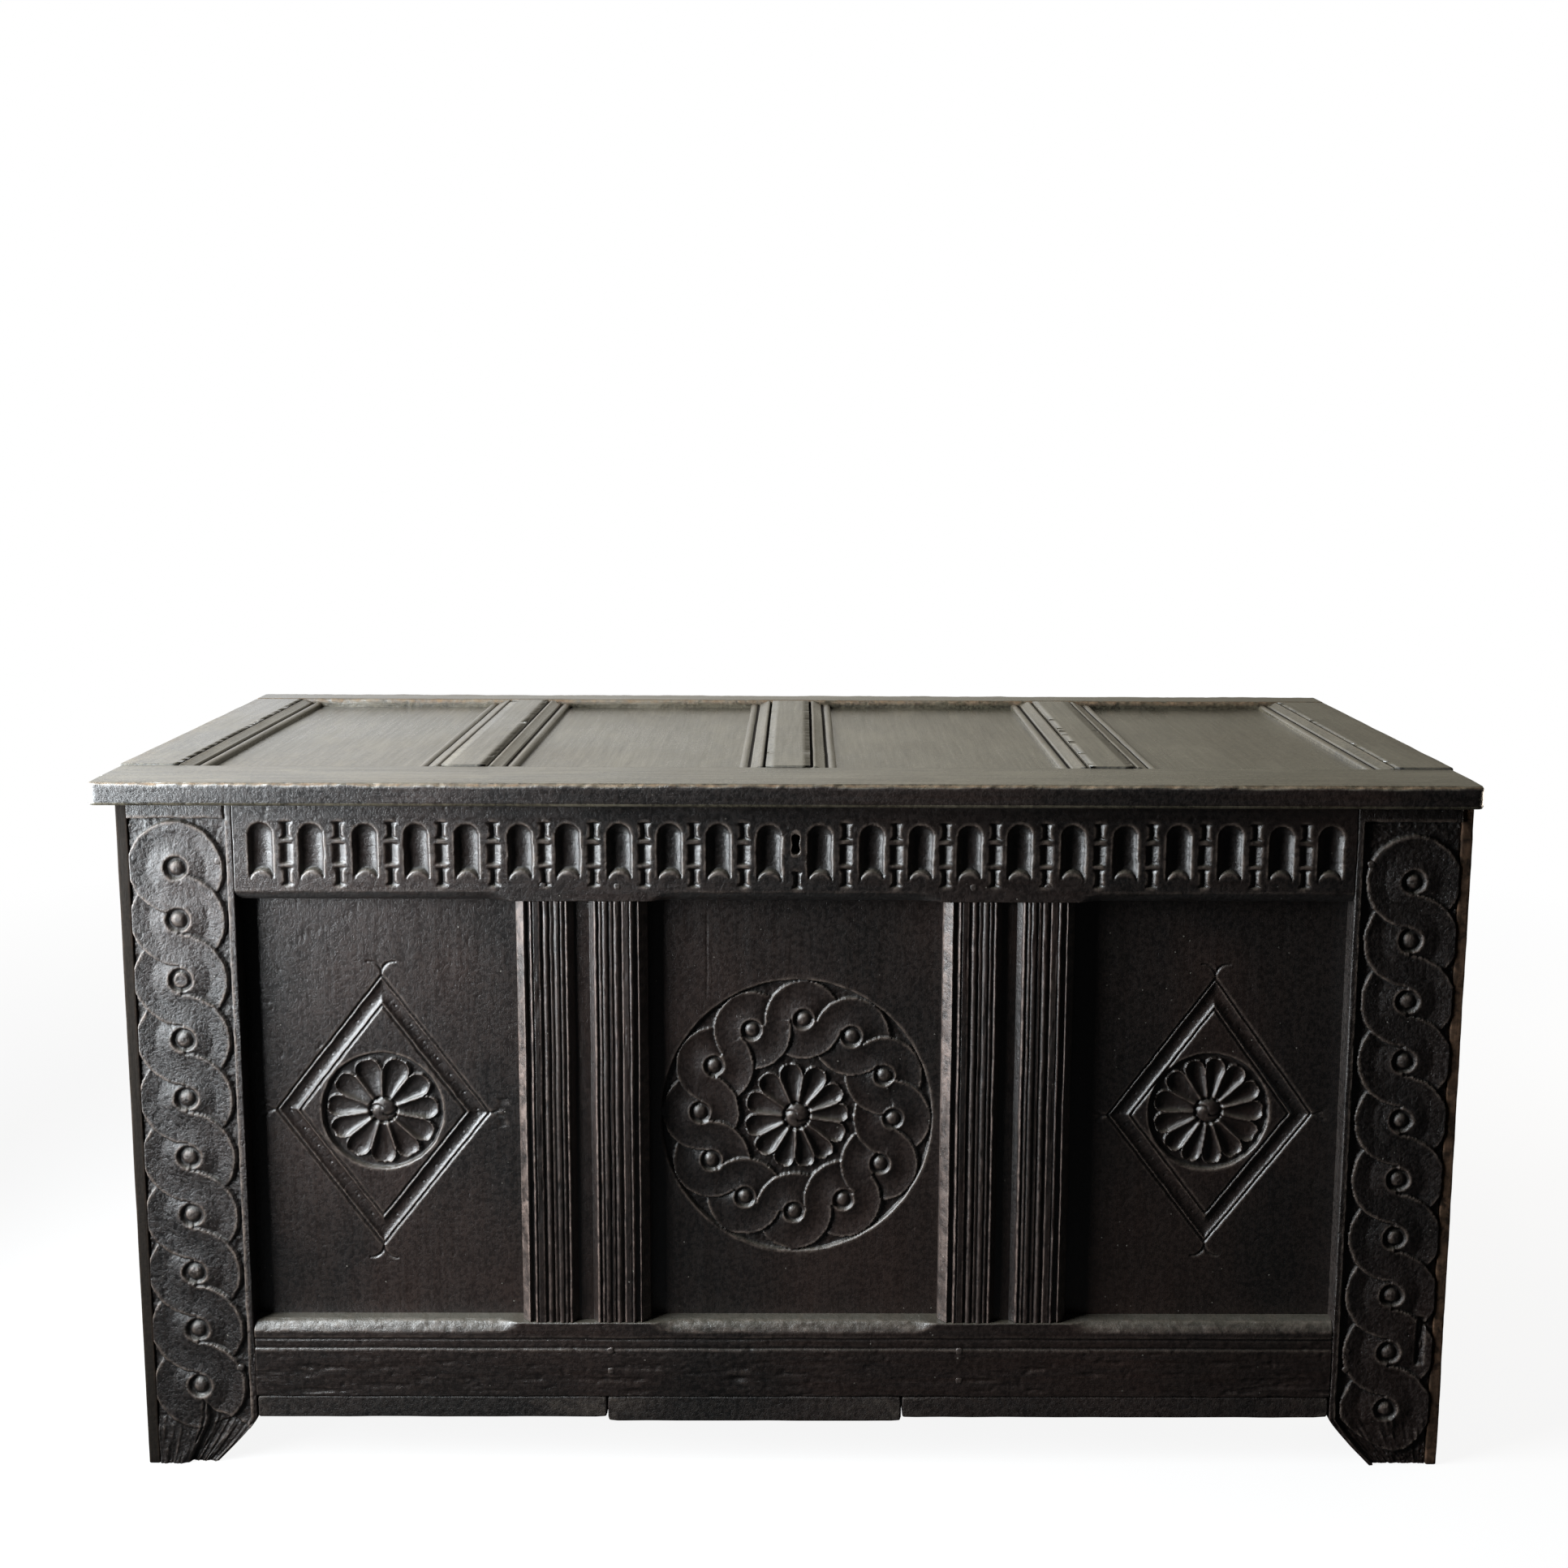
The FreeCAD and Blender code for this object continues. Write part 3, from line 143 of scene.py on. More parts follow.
def step(low, high, value):
    """0 below low, 1 above high, smooth between."""
    t = np.clip((value - low) / (high - low), 0, 1)
    return t * t * (3 - 2 * t)


def band(value, low, high, soft):
    """1 between low and high, falling to 0 over soft on either side."""
    return step(low - soft, low, value) * (1 - step(high, high + soft, value))


def groove(distance, width):
    """1 on a line, falling off like a bell over width."""
    return np.exp(-(distance / width) ** 2)


def vee(distance, width):
    """1 on a line, falling straight to 0 at width."""
    return np.clip(1 - np.abs(distance) / width, 0, 1)


def hump(distance, width):
    """1 on a line, falling like a parabola to 0 at width."""
    return np.clip(1 - (distance / width) ** 2, 0, 1)


def dents(u, v, count, span_u, span_v, radius, depth, seed):
    """Small knocks scattered over a face."""
    rng = np.random.default_rng(seed)
    cut = np.zeros_like(u)
    for _ in range(count):
        cu, cv = rng.uniform(*sorted(span_u)), rng.uniform(*sorted(span_v))
        r = radius * rng.uniform(0.5, 1.6)
        lean, long = rng.uniform(0, math.pi), rng.uniform(1, 2.6)
        du, dv = u - cu, v - cv
        near = (np.abs(du) < 4 * r) & (np.abs(dv) < 4 * r)
        along = (du * math.cos(lean) + dv * math.sin(lean)) / long
        across = -du * math.sin(lean) + dv * math.cos(lean)
        bowl = np.exp(-(along ** 2 + across ** 2) / (0.5 * r * r))
        cut += np.where(near, depth * rng.uniform(0.4, 1) * bowl, 0)
    return cut


def blurred(height, cells):
    """A box blur done twice, in grid cells."""
    for axis in (0, 1):
        for _ in range(2):
            size = [(0, 0), (0, 0)]
            size[axis] = (cells, cells)
            total = np.cumsum(np.pad(height, size, mode="edge"), axis=axis)
            total = np.insert(total, 0, 0, axis=axis)
            ahead = np.take(total, range(2 * cells + 1, total.shape[axis]), axis=axis)
            behind = np.take(total, range(0, total.shape[axis] - 2 * cells - 1), axis=axis)
            height = (ahead - behind) / (2 * cells + 1)
    return height


END_LINES = np.array([0, 0.3, 0.7, 1.2, 1.9, 2.8])
CLOSEST_LINES = 0.09


def marks(low, high, pitch, fine=()):
    """Grid lines from low to high, closer at both ends and in each fine stretch (low, high, pitch)."""
    even = np.linspace(low, high, max(2, int(round((high - low) / pitch)) + 1))
    parts = [even, low + END_LINES, high - END_LINES]
    for a, b, fine_pitch in fine:
        parts = [p[(p < a) | (p > b)] for p in parts] + [np.arange(a, b + 1e-6, fine_pitch)]
    lines = np.unique(np.clip(np.concatenate(parts), low, high))
    keep = [lines[0]]
    for line in lines[1:-1]:
        if line - keep[-1] > CLOSEST_LINES and high - line > CLOSEST_LINES:
            keep.append(line)
    return np.array(keep + [lines[-1]])


# ---------------------------------------------------------------- meshes

def make_mesh(name, points, quads, smooth, caps=(), materials=(), quad_material=None, marks_of=None):
    """An object from points, quads and flat many-sided caps. marks_of holds a value per point."""
    mesh = bpy.data.meshes.new(name)
    mesh.vertices.add(len(points))
    mesh.vertices.foreach_set("co", np.asarray(points, np.float32).ravel())
    corners = np.concatenate([quads.ravel()] + [np.asarray(cap) for cap, _ in caps]).astype(np.int32)
    sizes = np.array([4] * len(quads) + [len(cap) for cap, _ in caps])
    mesh.loops.add(len(corners))
    mesh.loops.foreach_set("vertex_index", corners)
    mesh.polygons.add(len(sizes))
    mesh.polygons.foreach_set("loop_start", np.concatenate([[0], np.cumsum(sizes)[:-1]]).astype(np.int32))
    flags = np.concatenate([smooth, np.zeros(len(caps), bool)])
    mesh.polygons.foreach_set("use_smooth", flags)
    slots = np.zeros(len(sizes), np.int32)
    if quad_material is not None:
        slots[:len(quads)] = quad_material
    slots[len(quads):] = [slot for _, slot in caps]
    mesh.update(calc_edges=True)
    for material in materials:
        mesh.materials.append(material)
    mesh.polygons.foreach_set("material_index", slots)
    for key, values in (marks_of or {}).items():
        mesh.attributes.new(key, "FLOAT", "POINT").data.foreach_set("value", np.asarray(values, np.float32))
    mesh.validate()
    thing = bpy.data.objects.new(name, mesh)
    bpy.context.scene.collection.objects.link(thing)
    return thing


def settle(thing, body, slot, *nodes):
    """The piece rides a body and stands for its nodes; its slot is not used."""
    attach(thing, body)
    if nodes:
        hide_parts(*nodes)
    return thing


def relief_board(name, placing, us, vs, cut, thick, materials, *, seed, base=0, arris=1.2,
                 outline=None, rubbed=None):
    """A board whose face is carved: cut(u, v) gives the depth below the face, base sets the face
    back, and rubbed(u, v) gives added wear, with a painted highlight on an up-facing bevel, or below 0
    painted shade."""
    u, v = np.meshgrid(us, vs)
    depth = cut(u, v)
    edge = np.minimum(np.minimum(u - us[0], us[-1] - u), np.minimum(v - vs[0], vs[-1] - v))
    worn = arris * waves(1, u, v, seed, (0.55, 23, 31), (0.3, 6, 7))
    turn = np.clip(1 - edge / np.maximum(worn, 0.3), 0, 1)
    height = -depth - worn * (1 - np.sqrt(1 - turn ** 2))
    if outline is not None:
        u, v = outline(u, v)
    rows, columns = u.shape
    face = placing.points(u, v, height - base)
    index = np.arange(rows * columns).reshape(rows, columns)
    ring = np.concatenate([index[0], index[1:, -1], index[-1, -2::-1], index[-2:0:-1, 0]])
    back = placing.points(u.ravel()[ring], v.ravel()[ring], np.full(len(ring), -base - thick))
    below = rows * columns + np.arange(len(ring))
    quads = np.stack([index[:-1, :-1], index[:-1, 1:], index[1:, 1:], index[1:, :-1]], -1).reshape(-1, 4)
    sides = np.stack([ring, below, np.roll(below, -1), np.roll(ring, -1)], -1)
    wear = np.clip((height - blurred(height, 2) - 0.12) / 0.6, 0, 1)
    # Painted shade: hollows are painted darker than what stands round them.
    soil = np.clip((blurred(height, 3) - height - 0.35) / 1.6, 0, 1)
    if rubbed is not None:
        finish = rubbed(*np.meshgrid(us, vs))
        wear, soil = np.clip(wear + finish, 0, 1), np.clip(soil + np.maximum(-finish, 0), 0, 1)
    # The back and the side walls take a fixed share of wear and of painted shade.
    spare = np.zeros(len(ring))
    return make_mesh(
        name, np.concatenate([face, back]), np.concatenate([quads, sides]),
        np.concatenate([np.ones(len(quads), bool), np.zeros(len(sides), bool)]),
        caps=[(below[::-1], len(materials) - 1)], materials=materials,
        marks_of={"wear": np.concatenate([wear.ravel(), spare + 0.3]),
                  "soil": np.concatenate([soil.ravel(), spare + 0.3])})


# The columns of a section's points: SHARE_ is a share of the plank's width or thickness,
# SHIFT_ is millimetres to add, and RIM is how worn the point is.
SHARE_ACROSS, _, SHARE_UP, SHIFT_UP, RIM = range(5)


def corner_points(across, up, radius):
    """A worn corner of a section, counted anticlockwise."""
    start = {(1, 1): 0, (0, 1): 0.5, (0, 0): 1.0, (1, 0): 1.5}[(across, up)] * math.pi
    points = []
    for k in range(4):
        angle = start + k * math.pi / 6
        points.append((across, radius * (1 - 2 * across) + radius * math.cos(angle),
                       up, radius * (1 - 2 * up) + radius * math.sin(angle), 1))
    return points


def side_points(start, end, count):
    """Evenly spaced points between two corners of a section, which are left out."""
    return [(start[0] + (end[0] - start[0]) * t, 0, start[1] + (end[1] - start[1]) * t, 0, 0)
            for t in np.linspace(0, 1, count + 2)[1:-1]]


def rounded_section(low_round, high_round, across_count=5, up_count=5):
    """A rectangle with round corners: share and offset across, share and offset up, and how
    exposed each point is."""
    return np.array(corner_points(1, 1, high_round) + side_points((1, 1), (0, 1), across_count)
                    + corner_points(0, 1, high_round) + side_points((0, 1), (0, 0), up_count)
                    + corner_points(0, 0, low_round) + side_points((0, 0), (1, 0), across_count)
                    + corner_points(1, 0, low_round) + side_points((1, 0), (1, 1), up_count))


def plank(name, placing, length, across, up, materials, along, *, seed, section=None, pitch=8.0,
          rough=0.25, rag=0.5, end_round=1.6, stops=(), grime=0.0, end_grime=0.0, edges=None):
    """A board with worn corners, swept along its grain. across and up are spans, or functions of
    the place along the grain that give one. rag is how unevenly the corners are worn, grime is how
    much painted shade the section's points take, end_grime how much the rounded ends take, and edges
    says which material each of them takes, the ends then taking the last one."""
    section = rounded_section(1.5, 1.5) if section is None else section
    ends = end_round * np.array([0, 0.15, 0.5, 1])
    even = np.linspace(*length, max(2, int((length[1] - length[0]) / pitch)))
    places = np.unique(np.concatenate([even, length[0] + ends, length[1] - ends,
                                       np.array(list(stops), float)]))
    spans = []
    for span in (across, up):
        spans.append(np.array([span(place) if callable(span) else span for place in places], float))
    inset = np.clip(end_round - np.minimum(places - length[0], length[1] - places), 0, end_round)
    inset = end_round - np.sqrt(end_round ** 2 - inset ** 2)
    share_a, shift_a, share_b, shift_b, rim = section.T
    a = spans[0][:, :1] + np.diff(spans[0]) * share_a + shift_a + inset[:, None] * (1 - 2 * share_a)
    b = spans[1][:, :1] + np.diff(spans[1]) * share_b + shift_b + inset[:, None] * (1 - 2 * share_b)
    c = np.repeat(places[:, None], len(section), 1)
    loss = rough * (0.5 + 0.5 * lattice(c, a + b, 37, 29, seed))
    loss = loss + rim * rag * waves(0.6, c, a - b, seed + 3, (0.7, 31, 60), (0.5, 6, 60))
    loss = np.maximum(loss, 0)
    a = a + loss * (1 - 2 * share_a)
    b = b + loss * (1 - 2 * share_b)
    points = placing.points(*{"u": (c, a, b), "v": (a, c, b), "w": (a, b, c)}[along])
    count = len(section)
    index = np.arange(len(places) * count).reshape(len(places), count)
    ahead = np.roll(index, -1, axis=1)
    quads = np.stack([index[:-1], index[1:], ahead[1:], ahead[:-1]], -1).reshape(-1, 4)
    caps = [(index[0], 0), (index[-1][::-1], 0)]
    if along != "v":
        quads = quads[:, ::-1]
        caps = [(cap[::-1], slot) for cap, slot in caps]
    wear = rim * np.clip(0.55 + 0.45 * loss / max(rag, 0.1), 0, 1)
    # Painted shade: a share for each section point, and on the rounded ends.
    soil = np.maximum(grime + 0 * wear, end_grime * (inset > 0)[:, None])
    painted = None
    if edges is not None:
        painted = np.tile(np.minimum(edges, np.roll(edges, -1)), len(places) - 1).astype(int)
        caps = [(cap, len(materials) - 1) for cap, _ in caps]
    return make_mesh(name, points, quads, np.ones(len(quads), bool), caps=caps, materials=materials,
                     quad_material=painted, marks_of={"wear": wear.ravel(), "soil": soil.ravel()})


# ---------------------------------------------------------------- carving of the top rail

FLUTES = np.array([-497.6, -450.5, -400.4, -352.9, -306.2, -256.4, -211.9, -164.4, -117.6, -71.9, -24.7,
                   22.5, 71.2, 116.9, 162.6, 209.1, 258.7, 307.8, 357.4, 405.5, 453.2, 499.4])
FLUTE_HALF, FLUTE_DEEP, FLUTE_TOP = 11.25, 6.4, 642.0
TONGUE_TOP, TONGUE_RADIUS = 597.5, 11.3
SPOOLS = (FLUTES[:-1] + FLUTES[1:]) / 2
SPOOL_HALF, SPOOL_STEM, SPOOL_DEEP = 5.9, 3.0, 3.6
UPPER_SPOOL, MIDDLE_SPOOL, LOWER_SPOOL = (626.5, 644), (603, 623.6), (582, 600.6)
SPOOL_UNDER_KEYHOLE = (580.5, 597.5)
RAIL_BEVEL, RAIL_BEVEL_DEEP = 9.2, 8.4
STOP_LENGTH = 24.0
KEYHOLE_HALF, KEYHOLE_LOW, KEYHOLE_HIGH, KEYHOLE_DEEP = 3.75, 613.5, 632.5, 34.0
LOCK_RING_X, LOCK_RING_Z, LOCK_RING_RADIUS = 1, 622, 15.5


def nearest(value, centres):
    """The nearest of the centres to each value."""
    return centres[np.abs(value[..., None] - centres).argmin(-1)]


def fluting(u, v):
    """Round-headed hollows that stand on tongues left at the face."""
    near = nearest(u, FLUTES)
    du = u - near + 0.35 * lattice(u, v, 60, 18, 11)
    head = FLUTE_TOP - FLUTE_HALF + 0.8 * lattice(near, v * 0, 17, 50, 12)
    radius = np.hypot(du, np.maximum(v - head, 0)) / FLUTE_HALF
    hollow = FLUTE_DEEP * np.sqrt(np.clip(1 - radius ** 2.3, 0, 1))
    tongue = TONGUE_TOP - TONGUE_RADIUS + np.sqrt(np.clip(TONGUE_RADIUS ** 2 - du ** 2, 0, None))
    foot = step(0, 1.5, v - tongue + 0.5 * lattice(near, v * 0, 11, 50, 13))
    scar = 0.9 * groove(v - tongue, 0.8) * (np.abs(du) < FLUTE_HALF)
    return hollow * foot + scar


def spool(du, v, level, half, stem):
    """One sunk chisel cut with wide ends and a narrow stem, in V section. level is its span in height."""
    low, high = level
    middle, reach = (low + high) / 2, (high - low) / 2
    t = np.abs(v - middle) / reach
    width = stem + (half - stem) * step(0.45, 0.95, t)
    fall = np.clip(1.15 - np.abs(du) / width, 0, 1)
    return SPOOL_DEEP * fall * step(0, 1.6, reach - np.abs(v - middle))


def spools(u, v):
    """The turned-spool cuts between the flutes; the keyhole takes the middle one's place."""
    near = nearest(u, SPOOLS)
    du = u - near + 0.4 * lattice(near, v * 0, 13, 50, 14)
    keyed = np.abs(near) < 5
    upper = spool(du, v, UPPER_SPOOL, SPOOL_HALF, SPOOL_STEM)
    middle = spool(du, v, MIDDLE_SPOOL, SPOOL_HALF, SPOOL_HALF * 0.93)
    lower = spool(du, v, LOWER_SPOOL, SPOOL_HALF, SPOOL_STEM)
    under = spool(u - 1, v, SPOOL_UNDER_KEYHOLE, SPOOL_HALF - 0.8, SPOOL_STEM)
    return np.where(keyed, under, upper + middle + lower)


def keyhole(u, v):
    """The key's slot, right through the rail."""
    middle = (KEYHOLE_LOW + KEYHOLE_HIGH) / 2
    waist = KEYHOLE_HALF * (0.74 + 0.26 * step(0, 6, np.abs(v - middle)))
    ends = np.minimum(v - KEYHOLE_LOW, KEYHOLE_HIGH - v)
    half = waist * np.sqrt(hump(1 - np.clip(ends / KEYHOLE_HALF, 0, 1), 1))
    return KEYHOLE_DEEP * step(-0.25, 0.25, half - np.abs(u)) * (ends > 0)


def bay_share(u):
    """1 over the panels, falling to 0 towards each muntin, where a bevel stops."""
    gap = np.abs(np.abs(u) - MUNTIN_CENTRE) - MUNTIN_WIDTH / 2
    return step(0, STOP_LENGTH, gap)


def bevel(u, distance, width, deep):
    """A sloping edge along a rail, distance being measured in from the rail's arris."""
    width = width * np.sqrt(bay_share(u)) + 1e-6
    slope = np.clip(1 - distance / width, 0, 1)
    return deep * bay_share(u) * (0.5 * slope + 0.5 * (1 - np.sqrt(1 - slope ** 2)))


def bevel_wear_and_painted_light(edge, upward, share):
    """How much wear and painted light a rail's bevel takes, the rail's arris being at the height edge: a
    share above 0 is wear with a painted highlight, below 0 painted shade.
    """
    def rubbed(u, v):
        distance = (v - edge) * upward
        return (share * bay_share(u) * step(RAIL_BEVEL + 2, RAIL_BEVEL * 0.45, distance)
                * waves(0.8, u, v, 26, (0.45, 34, 2.6), (0.45, 8, 1.9)))
    return rubbed


def rail_surface(u, v, seed):
    """Planing marks and slow waves along a rail."""
    return waves(0, u, v, seed, (0.22, 160, 22), (0.1, 45, 7), (0.05, 9, 2.2))


def top_rail(u, v):
    """How deep the top rail is cut: flutes, spools, the bevel and the keyhole with its faint ring."""
    wave_u = u + 0.25 * lattice(u, v, 9, 9, 15)
    wave_v = v + 0.3 * lattice(u, v, 8, 8, 16)
    cut = fluting(wave_u, wave_v) + spools(wave_u, wave_v)
    cut = np.maximum(cut, bevel(u, v - TOP_RAIL_LOW, RAIL_BEVEL, RAIL_BEVEL_DEEP))
    ring = 0.35 * groove(np.hypot(u - LOCK_RING_X, v - LOCK_RING_Z) - LOCK_RING_RADIUS, 0.7)
    cut = cut + ring + 0.5 + rail_surface(u, v, 17)
    cut += dents(u, v, 160, (-OPENING, OPENING), (570, 660), 1.6, 0.45, 18)
    return np.maximum(cut, keyhole(u, v))


# ---------------------------------------------------------------- carving of the bottom rail

RAIL_LINES = (131.5, 122.0)
RAIL_LINE_WIDTH = 0.9
RAIL_KNOT = (-56, 90)


def bottom_rail(u, v):
    """How deep the bottom rail is cut: its bevel, two scratched lines, a knot and torn grain."""
    ragged = waves(0, u, v, 28, (0.6, 24, 40), (0.5, 6, 3))
    cut = bevel(u, BOTTOM_RAIL_HIGH - v + ragged, RAIL_BEVEL, RAIL_BEVEL_DEEP)
    run = v + 0.5 * lattice(u, v * 0, 55, 50, 21)
    upper, lower = (groove(run - line, RAIL_LINE_WIDTH) for line in RAIL_LINES)
    cut += 1.5 * upper + 1.1 * lower
    cut += 0.7 * band(run, RAIL_LINES[1], RAIL_LINES[0], 0.4)
    cut += 2.6 * np.exp(-(((u - RAIL_KNOT[0]) / 9) ** 2 + ((v - RAIL_KNOT[1]) / 3.2) ** 2))
    torn = step(0.25, 0.8, lattice(u, v, 26, 6, 22)) * (1 - step(104, 118, v))
    cut += 1.1 * torn * (0.6 + 0.4 * lattice(u, v, 5, 1.6, 23))
    cut += 0.5 + rail_surface(u, v, 24) + dents(u, v, 260, (-OPENING, OPENING), (74, 128), 1.9, 0.8, 25)
    return cut


# ---------------------------------------------------------------- muntins

REEDING = [(0, 8.0), (7.4, 8.0), (7.9, 7.2), (11.6, 3.4), (12.0, 1.9), (12.7, 0.9), (13.5, 0.6),
           (14.4, 0.9), (15.1, 2.2), (15.5, 3.4), (15.9, 2.6), (16.6, 1.6), (17.7, 0.9), (18.8, 0.9),
           (19.4, 1.7), (19.7, 2.1), (20.0, 1.6), (21.2, 0.5), (23.0, 0.3), (24.6, 0.9), (25.6, 2.2),
           (26.0, 3.5), (26.3, 1.9), (29.0, 1.7), (29.4, 3.3), (30.0, 3.4), (30.7, 1.8), (32.0, 0.7),
           (33.2, 0.5), (34.6, 0.9), (35.7, 2.1), (36.3, 3.3), (37.2, 3.6), (38.1, 3.0), (38.5, 1.3),
           (39.0, 1.1), (44.6, 1.0), (45.0, 2.3), (45.5, 1.3), (46.7, 0.4), (47.8, 0.9), (48.4, 2.6),
           (48.7, 4.6), (52.8, 4.8), (53.3, 1.6), (53.9, 1.3), (61.6, 9.6), (62.0, 10.4)]
CHANNEL_HALF = 11.5


def rubbed_muntin(u, v):
    """Its outer bevels are worn bare in places."""
    distance = np.abs(np.abs(u) - MUNTIN_CENTRE)
    return 1.1 * step(52.8, 54.2, distance) * waves(0.6, u, v, 36, (0.4, 20, 45), (0.3, 6, 9))


def muntin(u, v):
    """How deep a muntin is cut: its reeding by the distance from its centre line, chips and knocks."""
    sway = waves(0, u * 0, v, 31, (0.35, 50, 70), (0.15, 50, 13))
    distance = np.abs(u - MUNTIN_CENTRE * np.sign(u) + sway)
    cut = np.interp(np.clip(distance, 0, MUNTIN_WIDTH / 2), *np.array(REEDING).T)
    chips = step(0.45, 0.9, lattice(u, v, 3.5, 16, 33)) * (distance > CHANNEL_HALF)
    cut += 0.5 * chips + 0.12 * lattice(u, v, 5, 60, 34)
    cut += dents(u, v, 120, (-264, 264), BETWEEN_RAILS, 1.3, 0.5, 35)
    return cut + 0.3


# ---------------------------------------------------------------- guilloche of the stiles

DISC = 44.7
STRAP_LIP, STRAP_CREASE = 13.6, 27.5
RING, BOSS, BOSS_DEEP = 10.8, 7.8, 4.4
GROUND = 4.6
STILE_MARGIN = 7.0
STRIP_LOW = 645.8
STILE_DENTS = (523, 621)
LEFT_BOSSES = [598.7, 548.7] + [548.7 - 58.3 * k for k in range(1, 9)]
RIGHT_BOSSES = [588.7, 532.0] + [532.0 - 59.1 * k for k in range(1, 9)]
STILES = {"left": (-1, -578.0, LEFT_BOSSES, 100), "right": (1, 578.5, RIGHT_BOSSES, 130)}
WORN_BOSS = 2


def strap(radius, sideways, half_pitch):
    """Depth across a strap: two slopes that meet in a crease, softened where the straps cross."""
    crease = 2.2 * vee(radius - STRAP_CREASE, np.where(radius > STRAP_CREASE, 17.2, 13.9))
    dish = 1.5 * hump(radius - half_pitch, half_pitch - 13.5)
    sharp = step(10, 24, sideways)
    lip = 0.5 * step(DISC - 1.6, DISC, radius)
    return 0.5 + crease * sharp + dish * (1 - sharp) + lip


def boss(radius, size, ring, deep, flat=False):
    """A domed boss in its ring groove, whose outer wall stands up to a crisp lip."""
    dome = 0.5 + (deep - 0.5) * np.clip(radius / size, 0, 1) ** 2.8
    if flat:
        dome = 1.6 + (deep - 1.6) * step(size - 1.2, size, radius)
    groove = deep * (1 - np.clip((radius - size) / (ring + 0.9 - size), 0, 1) ** 2.2)
    return np.where(radius < size, dome, groove)


def guilloche(u, v, column, bosses):
    """Discs in a column, each partly under the next: the upper covers on the left, the lower on the
    right. It is nan beside them."""
    du = u - column
    radii = np.stack([np.hypot(du, v - z) for z in bosses])
    order = np.arange(len(bosses)).reshape(-1, 1, 1)
    inside = radii < DISC
    upper = np.where(inside, order, 99).min(0)
    lower = np.where(inside, order, -1).max(0)
    chosen = np.where(du < 0, upper, lower)
    own = radii.argmin(0)
    chosen = np.where(radii.min(0) < STRAP_LIP - 1, own, chosen)
    covered = inside.any(0)
    chosen = np.clip(chosen, 0, len(bosses) - 1)
    radius = np.take_along_axis(radii, chosen[None], 0)[0]
    pitches = -np.diff(bosses)
    between = np.clip(np.where(du < 0, chosen, chosen - 1), 0, len(pitches) - 1)
    cut = strap(radius, np.abs(du), pitches[between] / 2)
    worn = (chosen == WORN_BOSS) & (column < 0)
    knob = np.where(worn, boss(radius, BOSS, RING, BOSS_DEEP, True), boss(radius, BOSS, RING, BOSS_DEEP))
    cut = np.where(radius < STRAP_LIP - 0.4, np.maximum(knob, np.where(radius < BOSS, 0, 0.4)), cut)
    coverer = np.clip(np.where(du < 0, chosen - 1, chosen + 1), 0, len(bosses) - 1)
    beyond = np.take_along_axis(radii, coverer[None], 0)[0] - DISC
    near = (coverer != chosen) & (beyond > 0) & (radius > BOSS + 0.5)
    cut += np.where(near, 2.3 * np.exp(-beyond / 5.5), 0)
    return np.where(covered, cut, np.nan)


def punched(u, v, seed):
    """The rough punched ground round the carving."""
    return waves(GROUND, u, v, seed, (0.5, 3.1, 3.1), (0.35, 1.7, 1.7))


def stile(side, column, bosses, seed):
    """How deep a stile is cut: the guilloche, its ground and margin, the strip above and its damage."""
    last = bosses[-1]

    def cut_of(u, v):
        wu = waves(u, u, v, seed, (0.5, 11, 11), (0.2, 4, 4))
        wv = waves(v, u, v, seed + 2, (0.5, 11, 11), (0.2, 4, 4))
        cut = guilloche(wu, wv, column, bosses)
        ground = punched(u, v, seed + 4)
        below = step(last - DISC + 16, last - DISC, v) if side < 0 else 0 * v
        ground = ground * (1 - below) + (1.6 + 0.8 * lattice(u, v, 9, 26, seed + 5)) * below
        cut = np.where(np.isnan(cut), ground, cut)
        inner = np.abs(wu) - OPENING
        margin = step(STILE_MARGIN + 0.7, STILE_MARGIN - 0.5, inner)
        cut = cut * (1 - margin) + 0.2 * margin
        strip = step(STRIP_LOW - 0.6, STRIP_LOW + 0.4, wv)
        line = 1.4 * groove(wv - STRIP_LOW + 0.8, 0.8) * (inner > STILE_MARGIN)
        cut = cut * (1 - strip) + 0.3 * strip + line
        if side < 0:
            cut += torn_foot(u, v, seed)
        else:
            lost = band(v, 108, 152, 4) * band(u, 606.5, 611.5, 2)
            cut += 3.5 * lost * (0.8 + 0.4 * lattice(u, v, 2, 9, seed + 9))
        split = groove(inner - 6.5 + 0.8 * lattice(u, v, 40, 6, 43), 0.8)
        cut += 2.0 * (band(v, STRIP_LOW, BODY_HEIGHT, 3) * split) * (side < 0)
        cut += waves(0.25, u, v, seed + 6, (0.2, 22, 34), (0.12, 5, 8))
        cut += 0.09 * lattice(u, v, 2.7, 3.6, seed + 20)
        cut += band(v, -9, 40, 16) * waves(0.6, u, v, seed + 21, (0.7, 3, 16), (0.5, 9, 7))
        span = [side * place for place in STILE_DENTS]
        return cut + dents(u, v, 220, span, (5, 655), 1.5, 0.55, seed + 8)

    return cut_of


def torn_foot(u, v, seed):
    """Wood lost from the left foot: a broken inner corner, splits up the margin and a drying crack."""
    inner = np.abs(u) - OPENING
    edge = 27 + 0.55 * (inner - 8) + 5 * lattice(u, v, 12, 12, seed + 11)
    gone = step(0, 2.5, edge + 14 - v) * step(50, 44, inner)
    fibres = waves(0, u, v, seed + 12, (0.8, 2.2, 40), (0.5, 5, 12))
    strip = band(v, 44, 158, 8) * step(9, 6.5, inner + 1.2 * lattice(u, v, 30, 12, seed + 14))
    ragged = 1.6 * strip * (0.5 + 0.5 * lattice(u, v, 2.6, 30, seed + 15))
    crack = 2.6 * groove(u + 575.5 + 1.2 * lattice(u * 0, v, 50, 9, seed + 16), 0.7) * band(v, 24, 66, 4)
    return gone * (4.6 + fibres) + ragged + crack


